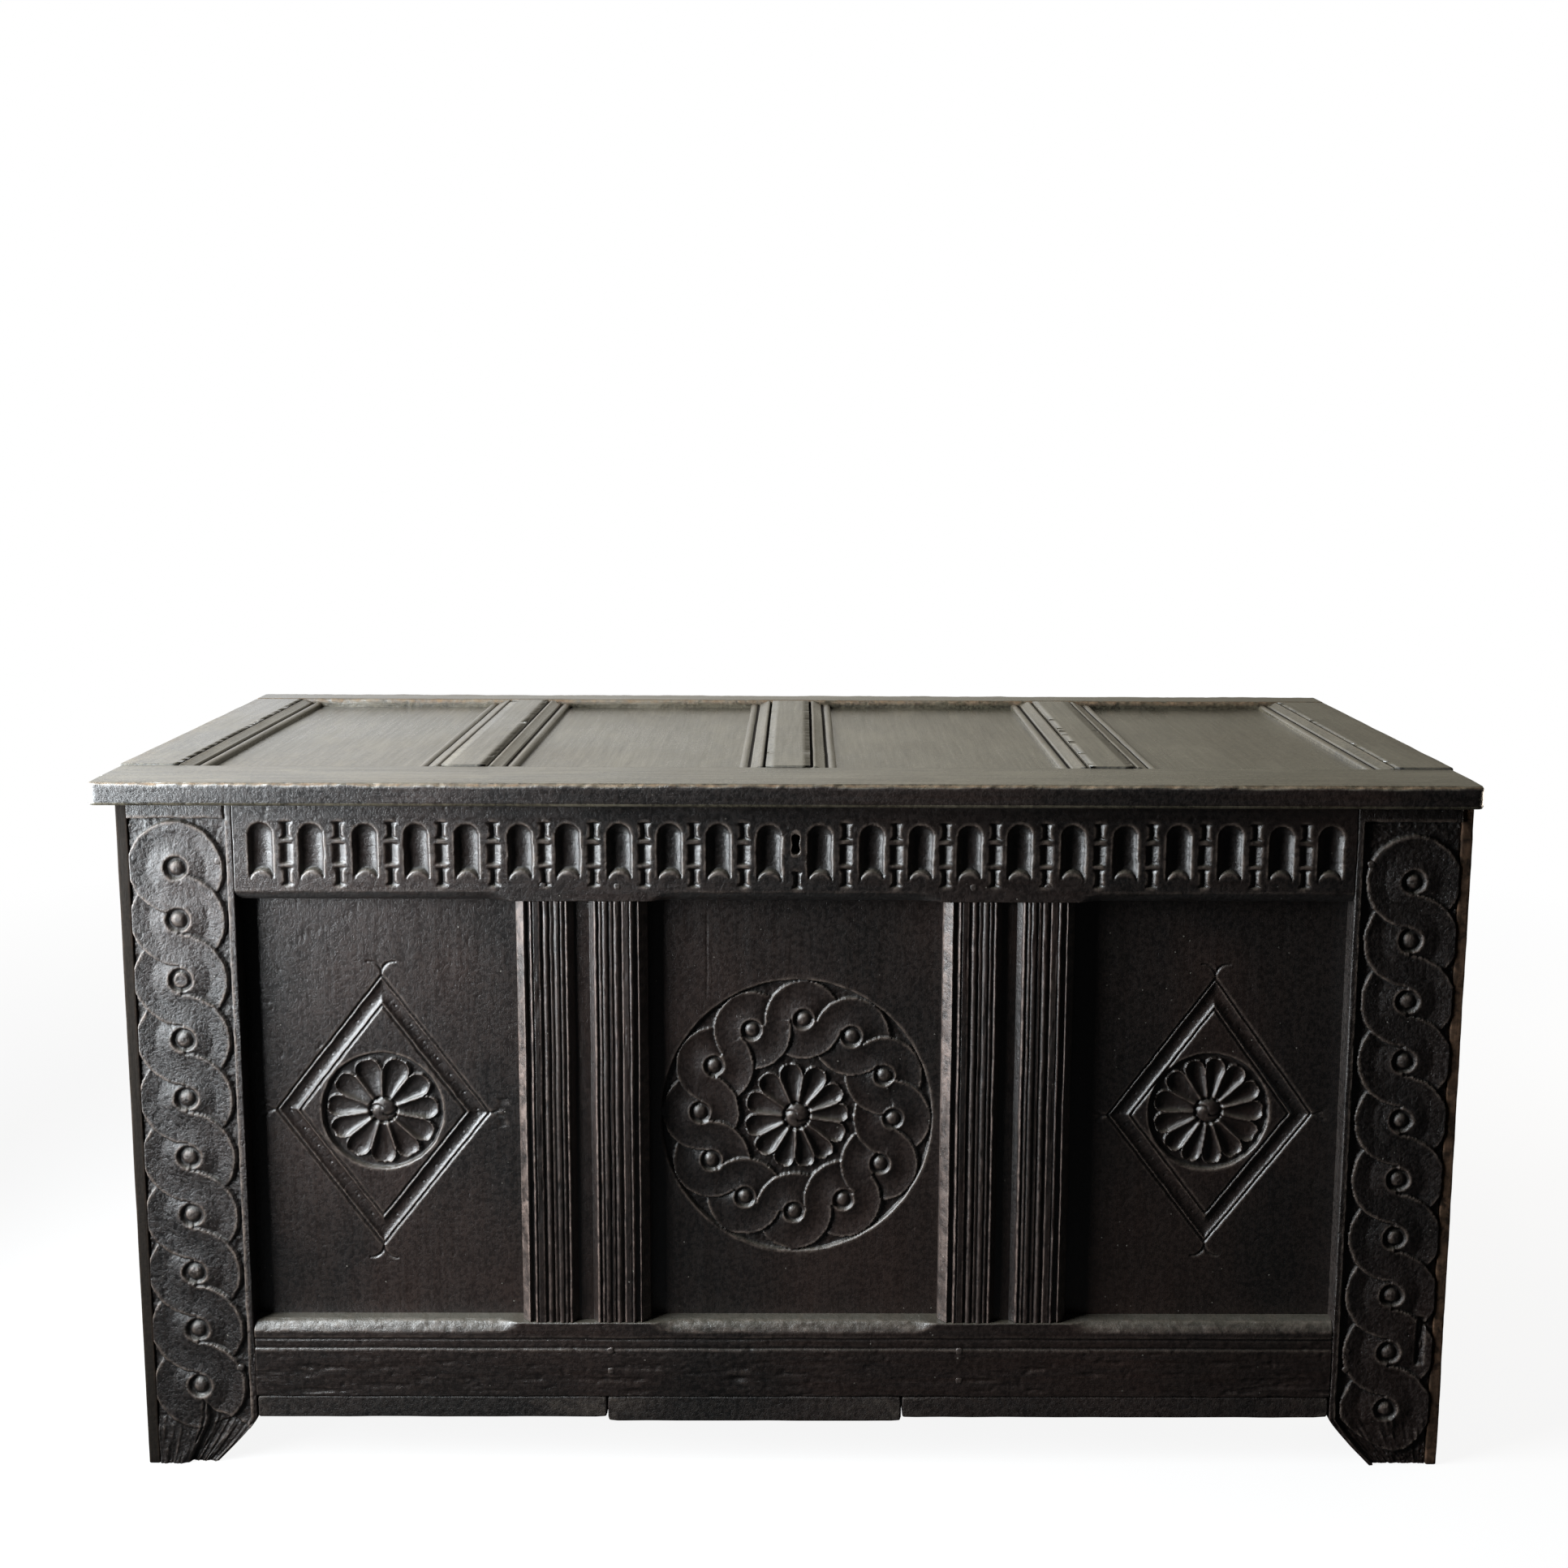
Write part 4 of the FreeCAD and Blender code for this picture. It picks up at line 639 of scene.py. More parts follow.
def stile_outline(side):
    """The foot narrows over its last part, cut slantwise from the inner edge."""

    def outline(u, v):
        narrow = FOOT_CUT_WIDTH * np.clip(1 - v / FOOT_CUT_HEIGHT, 0, 1) ** 1.15
        share = (HALF_LENGTH - np.abs(u)) / STILE_WIDTH
        return side * (HALF_LENGTH - share * (STILE_WIDTH - narrow)), v

    return outline


# ---------------------------------------------------------------- side panels

LOZENGES = {
    "left": dict(corners=[(-394.1, 492.2), (-292.4, 353.7), (-399.7, 217.0), (-500.0, 356.2)], seed=50,
                 rosette=(-396.9, 354.9), petals=[-20, 20, 54, 86, 118, 147, 180, 216, 247, 276, 308]),
    "right": dict(corners=[(400.8, 491.3), (499.9, 353.9), (399.7, 220.5), (299.7, 352.0)], seed=70,
                  rosette=(399.0, 356.0),
                  petals=[6, 34, 62, 89, 118, 147, 174, 200, 226, 254, 283, 314, 342]),
}
COVE_MIDDLE, COVE_HALF = 10.2, 6.9
ROSETTE_DISC, PETAL_TIP, ROSETTE_KNOB = 57.7, 53.0, 12.0
PETAL_LIP, PETAL_GROUND = 1.1, 4.8
FLOURISH_RADIUS = 12.0
SCRATCH_X, SCRATCH_Z, SCRATCH_SLOPE, SCRATCH_REACH = -482.0, 520.0, 0.5, 70


def lozenge_distance(u, v, corners):
    """How far inside the lozenge a point is, and how far along its side."""
    best, run = None, None
    for (ax, az), (bx, bz) in zip(corners, corners[1:] + corners[:1]):
        long = math.hypot(bx - ax, bz - az)
        tx, tz = (bx - ax) / long, (bz - az) / long
        inside = (u - ax) * tz - (v - az) * tx
        along = (u - ax) * tx + (v - az) * tz
        if best is None:
            best, run = inside, along
        else:
            closer = inside < best
            best, run = np.where(closer, inside, best), np.where(closer, along, run)
    return best, run


def lozenge_band(u, v, corners, seed):
    """A cove between two V grooves, with punch dots and small ticks along it."""
    inside, run = lozenge_distance(u, v, corners)
    inside = inside + 0.25 * lattice(run, inside, 40, 60, seed)
    outer = 2.4 * vee(inside - 1.6, 1.7)
    cove = 3.2 * np.sqrt(hump(inside - COVE_MIDDLE, COVE_HALF))
    inner = 2.2 * vee(inside - 19.2, 1.7)
    dot_run = (run + 4 * lattice(run, inside * 0, 60, 9, seed + 1)) % 22.0 - 11
    dots = 1.1 * np.exp(-(dot_run ** 2 + (inside - COVE_MIDDLE) ** 2))
    tick = 0.35 * groove((run + 11) % 11.0 - 5.5, 0.5) * band(inside, 9.5, 14.5, 0.8)
    return np.where(inside > -0.5, outer + cove + inner + (dots + tick) * (cove > 1), 0)


def flourishes(u, v, corners):
    """A pair of curled gouge cuts springing from each point of the lozenge."""
    cut = np.zeros_like(u)
    middle = (sum(c[0] for c in corners) / 4, sum(c[1] for c in corners) / 4)
    for x, z in corners:
        away = math.atan2(z - middle[1], x - middle[0])
        along = (u - x) * math.cos(away) + (v - z) * math.sin(away)
        across = np.abs(-(u - x) * math.sin(away) + (v - z) * math.cos(away))
        radius = np.hypot(across - FLOURISH_RADIUS, along + 0.5)
        angle = np.arctan2(along + 0.5, FLOURISH_RADIUS - across)
        share = np.clip(angle / (math.pi / 2), 0, 1.2)
        width = 1.0 + 0.9 * np.sin(math.pi * np.clip(share, 0, 1))
        near = (angle > 0) & (angle < 1.75) & (along > -0.5)
        cut += np.where(near, 1.7 * vee(radius - FLOURISH_RADIUS, width), 0)
    return cut


def petals(radius, angle, directions, tip, knob):
    """Spoon-cut petals with thin raised lips round a swirled knob."""
    middles = np.radians(directions)
    gaps = (np.roll(middles, -1) - middles) % (2 * math.pi)
    places = np.concatenate([[0], np.cumsum(gaps)])
    slot = np.interp((angle - middles[0]) % (2 * math.pi), places, np.arange(len(places)))
    share = slot - np.round(slot)
    half = radius * gaps[np.minimum(slot.astype(int), len(gaps) - 1)] / 2
    side = np.abs(share) * 2 * half
    head = tip - half * 0.92
    out = np.maximum(radius - head, 0)
    reach = np.hypot(side, out * np.where(out > 0, 0.95, 1))
    rim = np.where(radius < head, half - side, half * 0.97 - reach)
    lip = np.clip(rim / PETAL_LIP, 0, 1)
    slope = np.clip(1 - (rim - PETAL_LIP) / np.maximum(half * 0.7, 1), 0, 1)
    spoon = 4.5 * np.sqrt(hump(slope, 1))
    spoon = spoon * (0.4 + 0.6 * step(knob, tip * 0.7, radius))
    petal = 0.7 + 0.5 * (1 - np.sin(lip * math.pi)) + np.where(rim > PETAL_LIP, spoon, 0)
    shape = np.where(rim > 0, petal, PETAL_GROUND)
    shape = np.where((rim <= 0) & (radius < head), 1.2, shape)
    swirl = np.cos(2 * angle + radius * 0.3 - 0.5)
    dome = 0.5 + 3.6 * (radius / knob) ** 3.2 + 1.7 * np.clip(swirl, 0, 1) ** 8 * step(0.5, 4, radius)
    ring = 3.6 * groove(radius - knob - 0.6, 1.1)
    return np.where(radius < knob, dome, shape + ring)


def rosette(u, v, centre, directions):
    """A flower of petals sunk into a disc."""
    radius = np.hypot(u - centre[0], v - centre[1])
    angle = np.arctan2(u - centre[0], v - centre[1])
    flower = petals(radius, angle, directions, PETAL_TIP, ROSETTE_KNOB)
    cut = np.where(radius < PETAL_TIP + 0.01, flower, PETAL_GROUND)
    return cut * step(ROSETTE_DISC + 0.8, ROSETTE_DISC - 0.6, radius)


def panel_surface(u, v, seed):
    """A panel left by the plane: shallow waves up the grain and a fine unevenness."""
    return waves(0.35, u, v, seed, (0.14, 34, 110), (0.05, 11, 40), (0.03, 3.3, 4.1))


def side_panel(name):
    """How deep a side panel is cut: the lozenge with its flourishes, the rosette, scratch and knocks."""
    shape = LOZENGES[name]
    corners, seed = shape["corners"], shape["seed"]
    low, high = min(x for x, _ in corners) - 25, max(x for x, _ in corners) + 25

    def cut_of(u, v):
        wu = u + 0.3 * lattice(u, v, 9, 9, seed)
        wv = v + 0.3 * lattice(u, v, 9, 9, seed + 1)
        cut = lozenge_band(wu, wv, corners, seed + 2) + flourishes(wu, wv, corners)
        flower = rosette(wu, wv, shape["rosette"], shape["petals"])
        scratch = v - SCRATCH_Z - SCRATCH_SLOPE * (u - SCRATCH_X) + 1.2 * lattice(u, v * 0, 14, 50, seed + 8)
        reach = band(u, SCRATCH_X, SCRATCH_X + SCRATCH_REACH, 6)
        cut = cut + 0.45 * (name == "left") * groove(scratch, 0.7) * reach
        return (np.maximum(cut, flower) + panel_surface(u, v, seed + 4)
                + dents(u, v, 150, (low, high), BETWEEN_RAILS, 1.2, 0.5, seed + 7))

    return cut_of


# ---------------------------------------------------------------- the middle panel's roundel

ROUNDEL_X, ROUNDEL_Z = 1.6, 350.0
ROUNDEL_ACROSS, ROUNDEL_UP = 130.0, 136.0
ROUNDEL_BOSSES = np.radians([3.8, 34.4, 65.0, 91.3, 119.6, 150.7,
                             181.4, 212.5, 242.7, 272.2, 301.3, 332.3])
BOSS_CIRCLE, SMALL_DISC = 93.0, 36.5
SMALL_RING, SMALL_BOSS = 9.6, 6.8
ROUNDEL_PETALS = [-8, 26, 59, 86, 111, 142, 168, 196, 227, 257, 289, 320]
ROUNDEL_TIP, ROUNDEL_KNOB = 50.0, 11.7


def roundel(u, v):
    """Twelve bosses in a ring, with straps that swirl from one to the next round a flower."""
    x, z = u - ROUNDEL_X, (v - ROUNDEL_Z) * ROUNDEL_ACROSS / ROUNDEL_UP
    radius = np.hypot(x, z)
    angle = np.arctan2(x, z)
    centres = [(BOSS_CIRCLE * math.sin(a), BOSS_CIRCLE * math.cos(a)) for a in ROUNDEL_BOSSES]
    reach = np.stack([np.hypot(x - cx, z - cz) for cx, cz in centres])
    turn = np.stack([(angle - a + math.pi) % (2 * math.pi) - math.pi for a in ROUNDEL_BOSSES])
    inside = reach < SMALL_DISC + 1.5 * (BOSS_CIRCLE - radius > 0)
    outer = radius > BOSS_CIRCLE
    rank = np.where(inside, np.where(outer, turn, -turn), 9)
    chosen = rank.argmin(0)
    chosen = np.where(reach.min(0) < SMALL_RING + 1.6, reach.argmin(0), chosen)
    r = np.take_along_axis(reach, chosen[None], 0)[0]
    strap_cut = 0.6 + 1.9 * hump(r - 24, 13.5)
    knob = boss(r, SMALL_BOSS, SMALL_RING, 3.9)
    knob = np.maximum(knob, np.where(r < SMALL_BOSS, 0, 0.5))
    strap_cut = np.where(r < SMALL_RING + 1.6, knob, strap_cut)
    count = len(centres)
    coverer = np.where(outer, (chosen + 1) % count, (chosen - 1) % count)
    beyond = np.take_along_axis(reach, coverer[None], 0)[0] - SMALL_DISC
    strap_cut += np.where((beyond > 0) & (r > SMALL_BOSS + 0.5), 2.4 * np.exp(-beyond / 4.5), 0)
    ground = 4.4 + 0.35 * lattice(u, v, 2.6, 2.6, 81)
    cut = np.where(inside.any(0), strap_cut, ground)
    flower = petals(radius, angle, ROUNDEL_PETALS, ROUNDEL_TIP, ROUNDEL_KNOB)
    flower = np.where(flower == PETAL_GROUND, np.maximum(cut, 3.2), flower)
    cut = np.where(radius < ROUNDEL_TIP, flower, cut)
    return cut * step(ROUNDEL_ACROSS + 0.8, ROUNDEL_ACROSS - 0.6, radius)


def middle_panel(u, v):
    """How deep the middle panel is cut: the roundel, a drying crack and knocks."""
    wu = u + 0.35 * lattice(u, v, 10, 10, 82)
    wv = v + 0.35 * lattice(u, v, 10, 10, 83)
    crack = 0.5 * groove(u + 84.5 + 0.8 * lattice(u * 0, v, 50, 12, 84), 0.6) * band(v, 476, 545, 14)
    return (roundel(wu, wv) + panel_surface(u, v, 85) + crack
            + dents(u, v, 140, (-OPENING, OPENING), BETWEEN_RAILS, 1.2, 0.5, 88))


# ---------------------------------------------------------------- materials

class Nodes:
    """A node tree, built a node at a time."""

    def __init__(self, tree):
        self.tree = tree

    def node(self, kind, inputs=None, **settings):
        made = self.tree.nodes.new(kind)
        for key, value in settings.items():
            setattr(made, key, value)
        for key, value in (inputs or {}).items():
            self.feed(made.inputs[key], value)
        return made

    def feed(self, socket, value):
        if isinstance(value, bpy.types.NodeSocket):
            self.tree.links.new(value, socket)
        else:
            socket.default_value = value

    def axes(self, coordinates):
        """The three numbers of one of the Texture Coordinate node's outputs."""
        where = self.node("ShaderNodeTexCoord").outputs[coordinates]
        return self.node("ShaderNodeSeparateXYZ", {0: where}).outputs

    def ramp(self, value, start, end, low=0.0, high=1.0):
        made = self.node("ShaderNodeMapRange", {"Value": value, "From Min": start, "From Max": end,
                                                "To Min": low, "To Max": high})
        return made.outputs["Result"]

    def calc(self, kind, a, b):
        return self.node("ShaderNodeMath", {0: a, 1: b}, operation=kind).outputs[0]

    def mix(self, share, a, b, kind="MIX"):
        made = self.node("ShaderNodeMix", data_type="RGBA", blend_type=kind)
        self.feed(made.inputs["Factor"], share)
        for socket, value in ((made.inputs[6], a), (made.inputs[7], b)):
            self.feed(socket, value if isinstance(value, bpy.types.NodeSocket) else (*value, 1.0))
        return made.outputs[2]


class Paint(Nodes):
    """A material's node tree."""

    def __init__(self, name):
        self.material = bpy.data.materials.new(name)
        self.material.use_nodes = True
        super().__init__(self.material.node_tree)
        self.shader = self.tree.nodes["Principled BSDF"]
        self.output = self.tree.nodes["Material Output"]

    def place(self, scale):
        """The object's own coordinates, stretched."""
        where = self.node("ShaderNodeTexCoord").outputs["Object"]
        return self.node("ShaderNodeMapping", {"Vector": where, "Scale": scale}).outputs["Vector"]

    def noise(self, scale, detail=3.0, rough=0.55, warp=0.0):
        made = self.node("ShaderNodeTexNoise", {"Vector": self.place(scale), "Scale": 1.0, "Detail": detail,
                                                "Roughness": rough, "Distortion": warp})
        return made.outputs["Fac"]

    def cells(self, scale):
        made = self.node("ShaderNodeTexVoronoi", {"Vector": self.place(scale), "Scale": 1.0})
        return made.outputs["Distance"]

    def mark(self, name):
        """A value that make_mesh left at each point."""
        return self.node("ShaderNodeAttribute", attribute_name=name).outputs["Fac"]

    def bump(self, height, distance, strength, normal=None):
        made = self.node("ShaderNodeBump", {"Height": height, "Distance": distance, "Strength": strength})
        if normal is not None:
            self.feed(made.inputs["Normal"], normal)
        return made.outputs["Normal"]

def stretched(grain, along, across):
    """A mapping scale, per metre, with the grain along x, y or z."""
    return tuple(along if axis == grain else across for axis in "xyz")


# The near-black second colour here is painted shade, for hollows, gaps and faces turned down.
BLACK, PAINTED_SHADE_COLOUR, GREY_STREAK = (0.0, 0.0, 0.0), (0.006, 0.005, 0.004), (0.45, 0.44, 0.44)
# The pale colour after BLOOM is dust with a painted top light, for faces turned up.
BLOOM, TOP_DUST_AND_LIGHT, SPECKS = (0.13, 0.112, 0.08), (0.085, 0.078, 0.058), (0.2, 0.185, 0.16)
WEAR_SHARE = PAINTED_SHADE_SHARE = 0.85


def oak(name, grain, deep, mid, warm, worn, rough, gloss=0.5, wax=0.0, dust=0.25, relief=1.0,
        streaks=0.4, ledge=0.0, hide=0.3, bloom=0.0):
    """Old oak: open pores and streaks along the grain, red-brown clouds, worn arrises and painted shade in
    hollows, a leathery skin of old polish with a pale bloom in patches, and dust with a painted top light on
    what faces up."""
    paint = Paint(name)
    figure = paint.noise(stretched(grain, 2.2, 16), 4, 0.6, 0.6)
    streak = paint.noise(stretched(grain, 9, 210), 3, 0.6)
    fibre = paint.noise(stretched(grain, 42, 900), 2, 0.55)
    cloud = paint.noise((4.3, 4.3, 4.3), 3, 0.55, 0.4)
    pores = paint.cells(stretched(grain, 55, 640))
    knocks = paint.noise((95, 95, 95), 3, 0.65, 0.5)
    skin = paint.noise((260, 260, 260), 4, 0.7)
    pits = paint.ramp(skin, 0.42, 0.58)

    colour = paint.mix(paint.ramp(figure, 0.3, 0.7), deep, mid)
    colour = paint.mix(paint.ramp(cloud, 0.42, 0.72, 0.0, 0.7), colour, warm)
    greyed = paint.mix(1.0, colour, GREY_STREAK, "MULTIPLY")
    colour = paint.mix(paint.ramp(streak, 0.35, 0.68, 0.0, streaks), colour, greyed)
    pore = paint.ramp(pores, 0.0, 0.22, 1.0, 0.0)
    colour = paint.mix(paint.calc("MULTIPLY", pore, 0.55), colour, tuple(0.3 * c for c in deep))
    rubbed = paint.ramp(knocks, 0.36, 0.6, 0.12, WEAR_SHARE)
    wear = paint.calc("MULTIPLY", paint.mark("wear"), rubbed)
    colour = paint.mix(wear, colour, worn)
    # Painted shade from the mesh's mark darkens the colour and dulls it.
    soil = paint.calc("MULTIPLY", paint.mark("soil"), PAINTED_SHADE_SHARE)
    colour = paint.mix(soil, colour, PAINTED_SHADE_COLOUR)
    mottle = 0.5 * min(1.0, 3 * hide)
    darker = paint.mix(0.5, colour, BLACK)
    paler = paint.mix(0.3, colour, tuple(3.2 * c for c in mid))
    colour = paint.mix(paint.ramp(skin, 0.38, 0.62, 0.5 - mottle, 0.5 + mottle), darker, paler)
    if bloom:
        patches = paint.noise(stretched(grain, 7, 19), 5, 0.7, 0.5)
        patches = paint.ramp(patches, 0.48, 0.66, 0.0, bloom)
        colour = paint.mix(patches, colour, BLOOM)
    # Faces turned up are painted paler: dust, and a painted top light.
    if ledge:
        facing = paint.ramp(paint.axes("Normal")["Z"], 0.35, 0.8)
        up_facing_share = paint.calc("MULTIPLY", facing, paint.ramp(skin, 0.35, 0.65, 0.4, ledge))
        colour = paint.mix(up_facing_share, colour, TOP_DUST_AND_LIGHT)
    dots = paint.ramp(paint.cells((85, 85, 85)), 0.03, 0.075, 1.0, 0.0)
    dusty = paint.ramp(paint.noise((23, 23, 23), 2), 0.5, 0.6, 0.0, dust)
    colour = paint.mix(paint.calc("MULTIPLY", dots, dusty), colour, SPECKS)
    paint.feed(paint.shader.inputs["Base Color"], colour)

    haze = paint.calc("ADD", paint.calc("MULTIPLY", streak, 0.5), paint.calc("MULTIPLY", cloud, 0.5))
    haze = paint.ramp(haze, 0.35, 0.65, *rough)
    dulled = [(soil, 0.4 if wax else 0.16), (wear, 0.6 if wax else 0.15), (pits, 0.1 * hide)]
    if bloom:
        dulled.append((patches, 0.14))
    for place, amount in dulled:
        haze = paint.calc("ADD", haze, paint.calc("MULTIPLY", place, amount))
    paint.feed(paint.shader.inputs["Roughness"], haze)
    paint.shader.inputs["Specular IOR Level"].default_value = gloss
    if wax:
        bare = paint.calc("MAXIMUM", wear, soil)
        paint.feed(paint.shader.inputs["Coat Weight"], paint.ramp(bare, 0.05, 0.5, wax, 0.0))
        paint.shader.inputs["Coat Roughness"].default_value = 0.25

    normal = None
    for height, distance, strength in (
            (knocks, 0.0009 * relief, 0.5), (pits, 0.0002 * max(1.0, hide), min(1.0, hide)),
            (streak, 0.0007 * relief, 0.4 * min(1.0, 2 * streaks)), (fibre, 0.0003 * relief, 0.4),
            (pore, -0.0004 * relief, 0.4)):
        normal = paint.bump(height, distance, strength, normal)
    paint.feed(paint.shader.inputs["Normal"], normal)
    return paint.material


def forged_iron(name):
    """Blackened, hammered iron with a little rust in its hollows."""
    paint = Paint(name)
    hammer = paint.noise((130, 130, 130), 2, 0.5)
    scale = paint.noise((700, 700, 700), 3, 0.6)
    rust = paint.noise((60, 60, 60), 4, 0.65, 0.8)
    colour = paint.mix(paint.ramp(scale, 0.35, 0.7), (0.03, 0.029, 0.028), (0.07, 0.066, 0.062))
    colour = paint.mix(paint.ramp(rust, 0.52, 0.7, 0.0, 0.8), colour, (0.11, 0.045, 0.02))
    paint.feed(paint.shader.inputs["Base Color"], colour)
    paint.feed(paint.shader.inputs["Roughness"], paint.ramp(rust, 0.4, 0.7, 0.42, 0.85))
    paint.shader.inputs["Metallic"].default_value = 0.75
    normal = paint.bump(hammer, 0.0016, 0.6)
    paint.feed(paint.shader.inputs["Normal"], paint.bump(scale, 0.0003, 0.5, normal))
    return paint.material


FRONT_TONES = dict(deep=(0.0036, 0.0028, 0.0026), mid=(0.0075, 0.0048, 0.0037),
                   warm=(0.027, 0.0105, 0.006), worn=(0.12, 0.086, 0.066), gloss=0.8, dust=0.9)
POST_TONES = {**FRONT_TONES, "worn": (0.2, 0.138, 0.113)}
STILE_TONES = {**FRONT_TONES, "gloss": 0.62}
LID_TONES = dict(deep=(0.018, 0.0165, 0.0115), mid=(0.042, 0.037, 0.025), warm=(0.062, 0.045, 0.026),
                 worn=(0.16, 0.082, 0.03), rough=(0.2, 0.42), gloss=0.65, wax=0.5, bloom=0.42)
END_TONES = dict(deep=(0.006, 0.0045, 0.0034), mid=(0.011, 0.0078, 0.0055), warm=(0.018, 0.0098, 0.006),
                 worn=(0.22, 0.125, 0.075), rough=(0.6, 0.8), gloss=0.12, dust=0.08, hide=0.12)
INSIDE_TONES = dict(deep=(0.075, 0.05, 0.03), mid=(0.13, 0.088, 0.052), warm=(0.15, 0.085, 0.045),
                    worn=(0.2, 0.15, 0.1), rough=(0.6, 0.8), gloss=0.25, dust=0.4, relief=1.3, hide=0.05)
BACK_TONES = dict(deep=(0.035, 0.026, 0.019), mid=(0.07, 0.052, 0.038), warm=(0.085, 0.055, 0.036),
                  worn=(0.14, 0.11, 0.08), rough=(0.58, 0.8), gloss=0.25, dust=0.35, relief=1.4, hide=0.07)
BASE_TONES = dict(deep=(0.0035, 0.003, 0.0026), mid=(0.0085, 0.006, 0.0046), warm=(0.027, 0.0115, 0.007),
                  worn=(0.06, 0.045, 0.033), rough=(0.42, 0.6), relief=1.6, hide=0.8)

oak_rail = oak("oak_rail", "x", **FRONT_TONES, rough=(0.3, 0.42), ledge=0.45, hide=0.5)
oak_post = oak("oak_post", "z", **POST_TONES, rough=(0.3, 0.42), ledge=0.3, hide=0.4)
oak_stile = oak("oak_stile", "z", **STILE_TONES, rough=(0.31, 0.46), streaks=0.05, ledge=0.2, hide=1.15)
oak_panel = oak("oak_panel", "z", **FRONT_TONES, rough=(0.32, 0.42), relief=0.6, streaks=0.05,
                ledge=0.2, hide=0.5)
oak_lid_long = oak("oak_lid_long", "x", **LID_TONES)
oak_lid_cross = oak("oak_lid_cross", "y", **LID_TONES)
oak_end = oak("oak_end", "z", **END_TONES)
oak_edge = oak("oak_edge", "y", **END_TONES)
oak_inside_x, oak_inside_y, oak_inside_z = (oak(f"oak_inside_{grain}", grain, **INSIDE_TONES)
                                            for grain in "xyz")
oak_back_x, oak_back_z = (oak(f"oak_back_{grain}", grain, **BACK_TONES) for grain in "xz")
oak_base = oak("oak_base", "y", **BASE_TONES)
oak_peg = oak("oak_peg", "y", **FRONT_TONES, rough=(0.38, 0.48))
iron = forged_iron("iron")


# ---------------------------------------------------------------- the carved front

PITCH = 3.2
TONGUE = 5


def carved(name, node, us, vs, cut, thick, face, back, **shape):
    """A relief board of the carved front, with plain wood behind its face."""
    settle(relief_board(name, FRONT, us, vs, cut, thick, [face, back], **shape),
           "coffer", "oak_front", node)


def front_boards():
    """The stiles, rails, muntins and panels of the front."""
    heights = marks(0, BODY_HEIGHT, 1.06)
    for name, (side, column, bosses, seed) in STILES.items():
        across = sorted((side * OPENING, side * HALF_LENGTH))
        carved(f"carved_{name}_stile", f"front_{name}_stile", marks(*across, 1.06), heights,
               stile(side, column, bosses, seed), STILE_THICK, oak_stile, oak_inside_z,
               seed=seed + 1, outline=stile_outline(side))
    # The top rail's bevel faces down and is painted with shade.
    carved("fluted_top_rail", "front_top_rail", marks(-OPENING, OPENING, 1.17, [(-7, 7, 0.35)]),
           marks(TOP_RAIL_LOW, BODY_HEIGHT, 1.2, [(KEYHOLE_LOW - 2, KEYHOLE_HIGH + 2, 0.9)]), top_rail,
           RAIL_THICK, oak_rail, oak_inside_x, arris=0.8, seed=141,
           rubbed=bevel_wear_and_painted_light(TOP_RAIL_LOW, 1, -1.4))
    # The bottom rail's bevel faces up and takes wear with a painted highlight.
    carved("bottom_rail", "front_bottom_rail", marks(-OPENING, OPENING, 1.8),
           marks(BOTTOM_RAIL_LOW, BOTTOM_RAIL_HIGH, 1.1), bottom_rail, RAIL_THICK, oak_rail, oak_inside_x,
           arris=1.4, seed=151, rubbed=bevel_wear_and_painted_light(BOTTOM_RAIL_HIGH, -1, 0.6))
    for name, side in (("left", -1), ("right", 1)):
        middle = side * MUNTIN_CENTRE
        carved(f"reeded_{name}_muntin", f"front_{name}_muntin",
               marks(middle - MUNTIN_WIDTH / 2, middle + MUNTIN_WIDTH / 2, 0.55),
               marks(BOTTOM_RAIL_HIGH, TOP_RAIL_LOW, PITCH), muntin, RAIL_THICK, oak_post, oak_inside_z,
               arris=0.5, seed=160 + side, rubbed=rubbed_muntin)

    low, high = BOTTOM_RAIL_HIGH - TONGUE, TOP_RAIL_LOW + TONGUE
    inner = MUNTIN_CENTRE + MUNTIN_WIDTH / 2 - TONGUE
    outer = OPENING + TONGUE
    for name, span in (("left", (-outer, -inner)), ("right", (inner, outer))):
        xs, zs = zip(*LOZENGES[name]["corners"])
        us = marks(*span, PITCH, [(min(xs) - 3, max(xs) + 3, 0.95)])
        vs = marks(low, high, PITCH, [(min(zs) - 14, max(zs) + 14, 0.95)])
        carved(f"carved_{name}_panel", f"front_{name}_panel", us, vs, side_panel(name), PANEL_THICK,
               oak_panel, oak_inside_z, base=PANEL_FACE, arris=0.5, seed=171)
    half = MUNTIN_CENTRE - MUNTIN_WIDTH / 2 + TONGUE
    us = marks(-half, half, PITCH, [(ROUNDEL_X - ROUNDEL_ACROSS - 2, ROUNDEL_X + ROUNDEL_ACROSS + 2, 1.0)])
    vs = marks(low, high, PITCH, [(ROUNDEL_Z - ROUNDEL_UP - 2, ROUNDEL_Z + ROUNDEL_UP + 2, 1.0)])
    carved("carved_centre_panel", "front_centre_panel", us, vs, middle_panel, PANEL_THICK,
           oak_panel, oak_inside_z, base=PANEL_FACE, arris=0.5, seed=181)


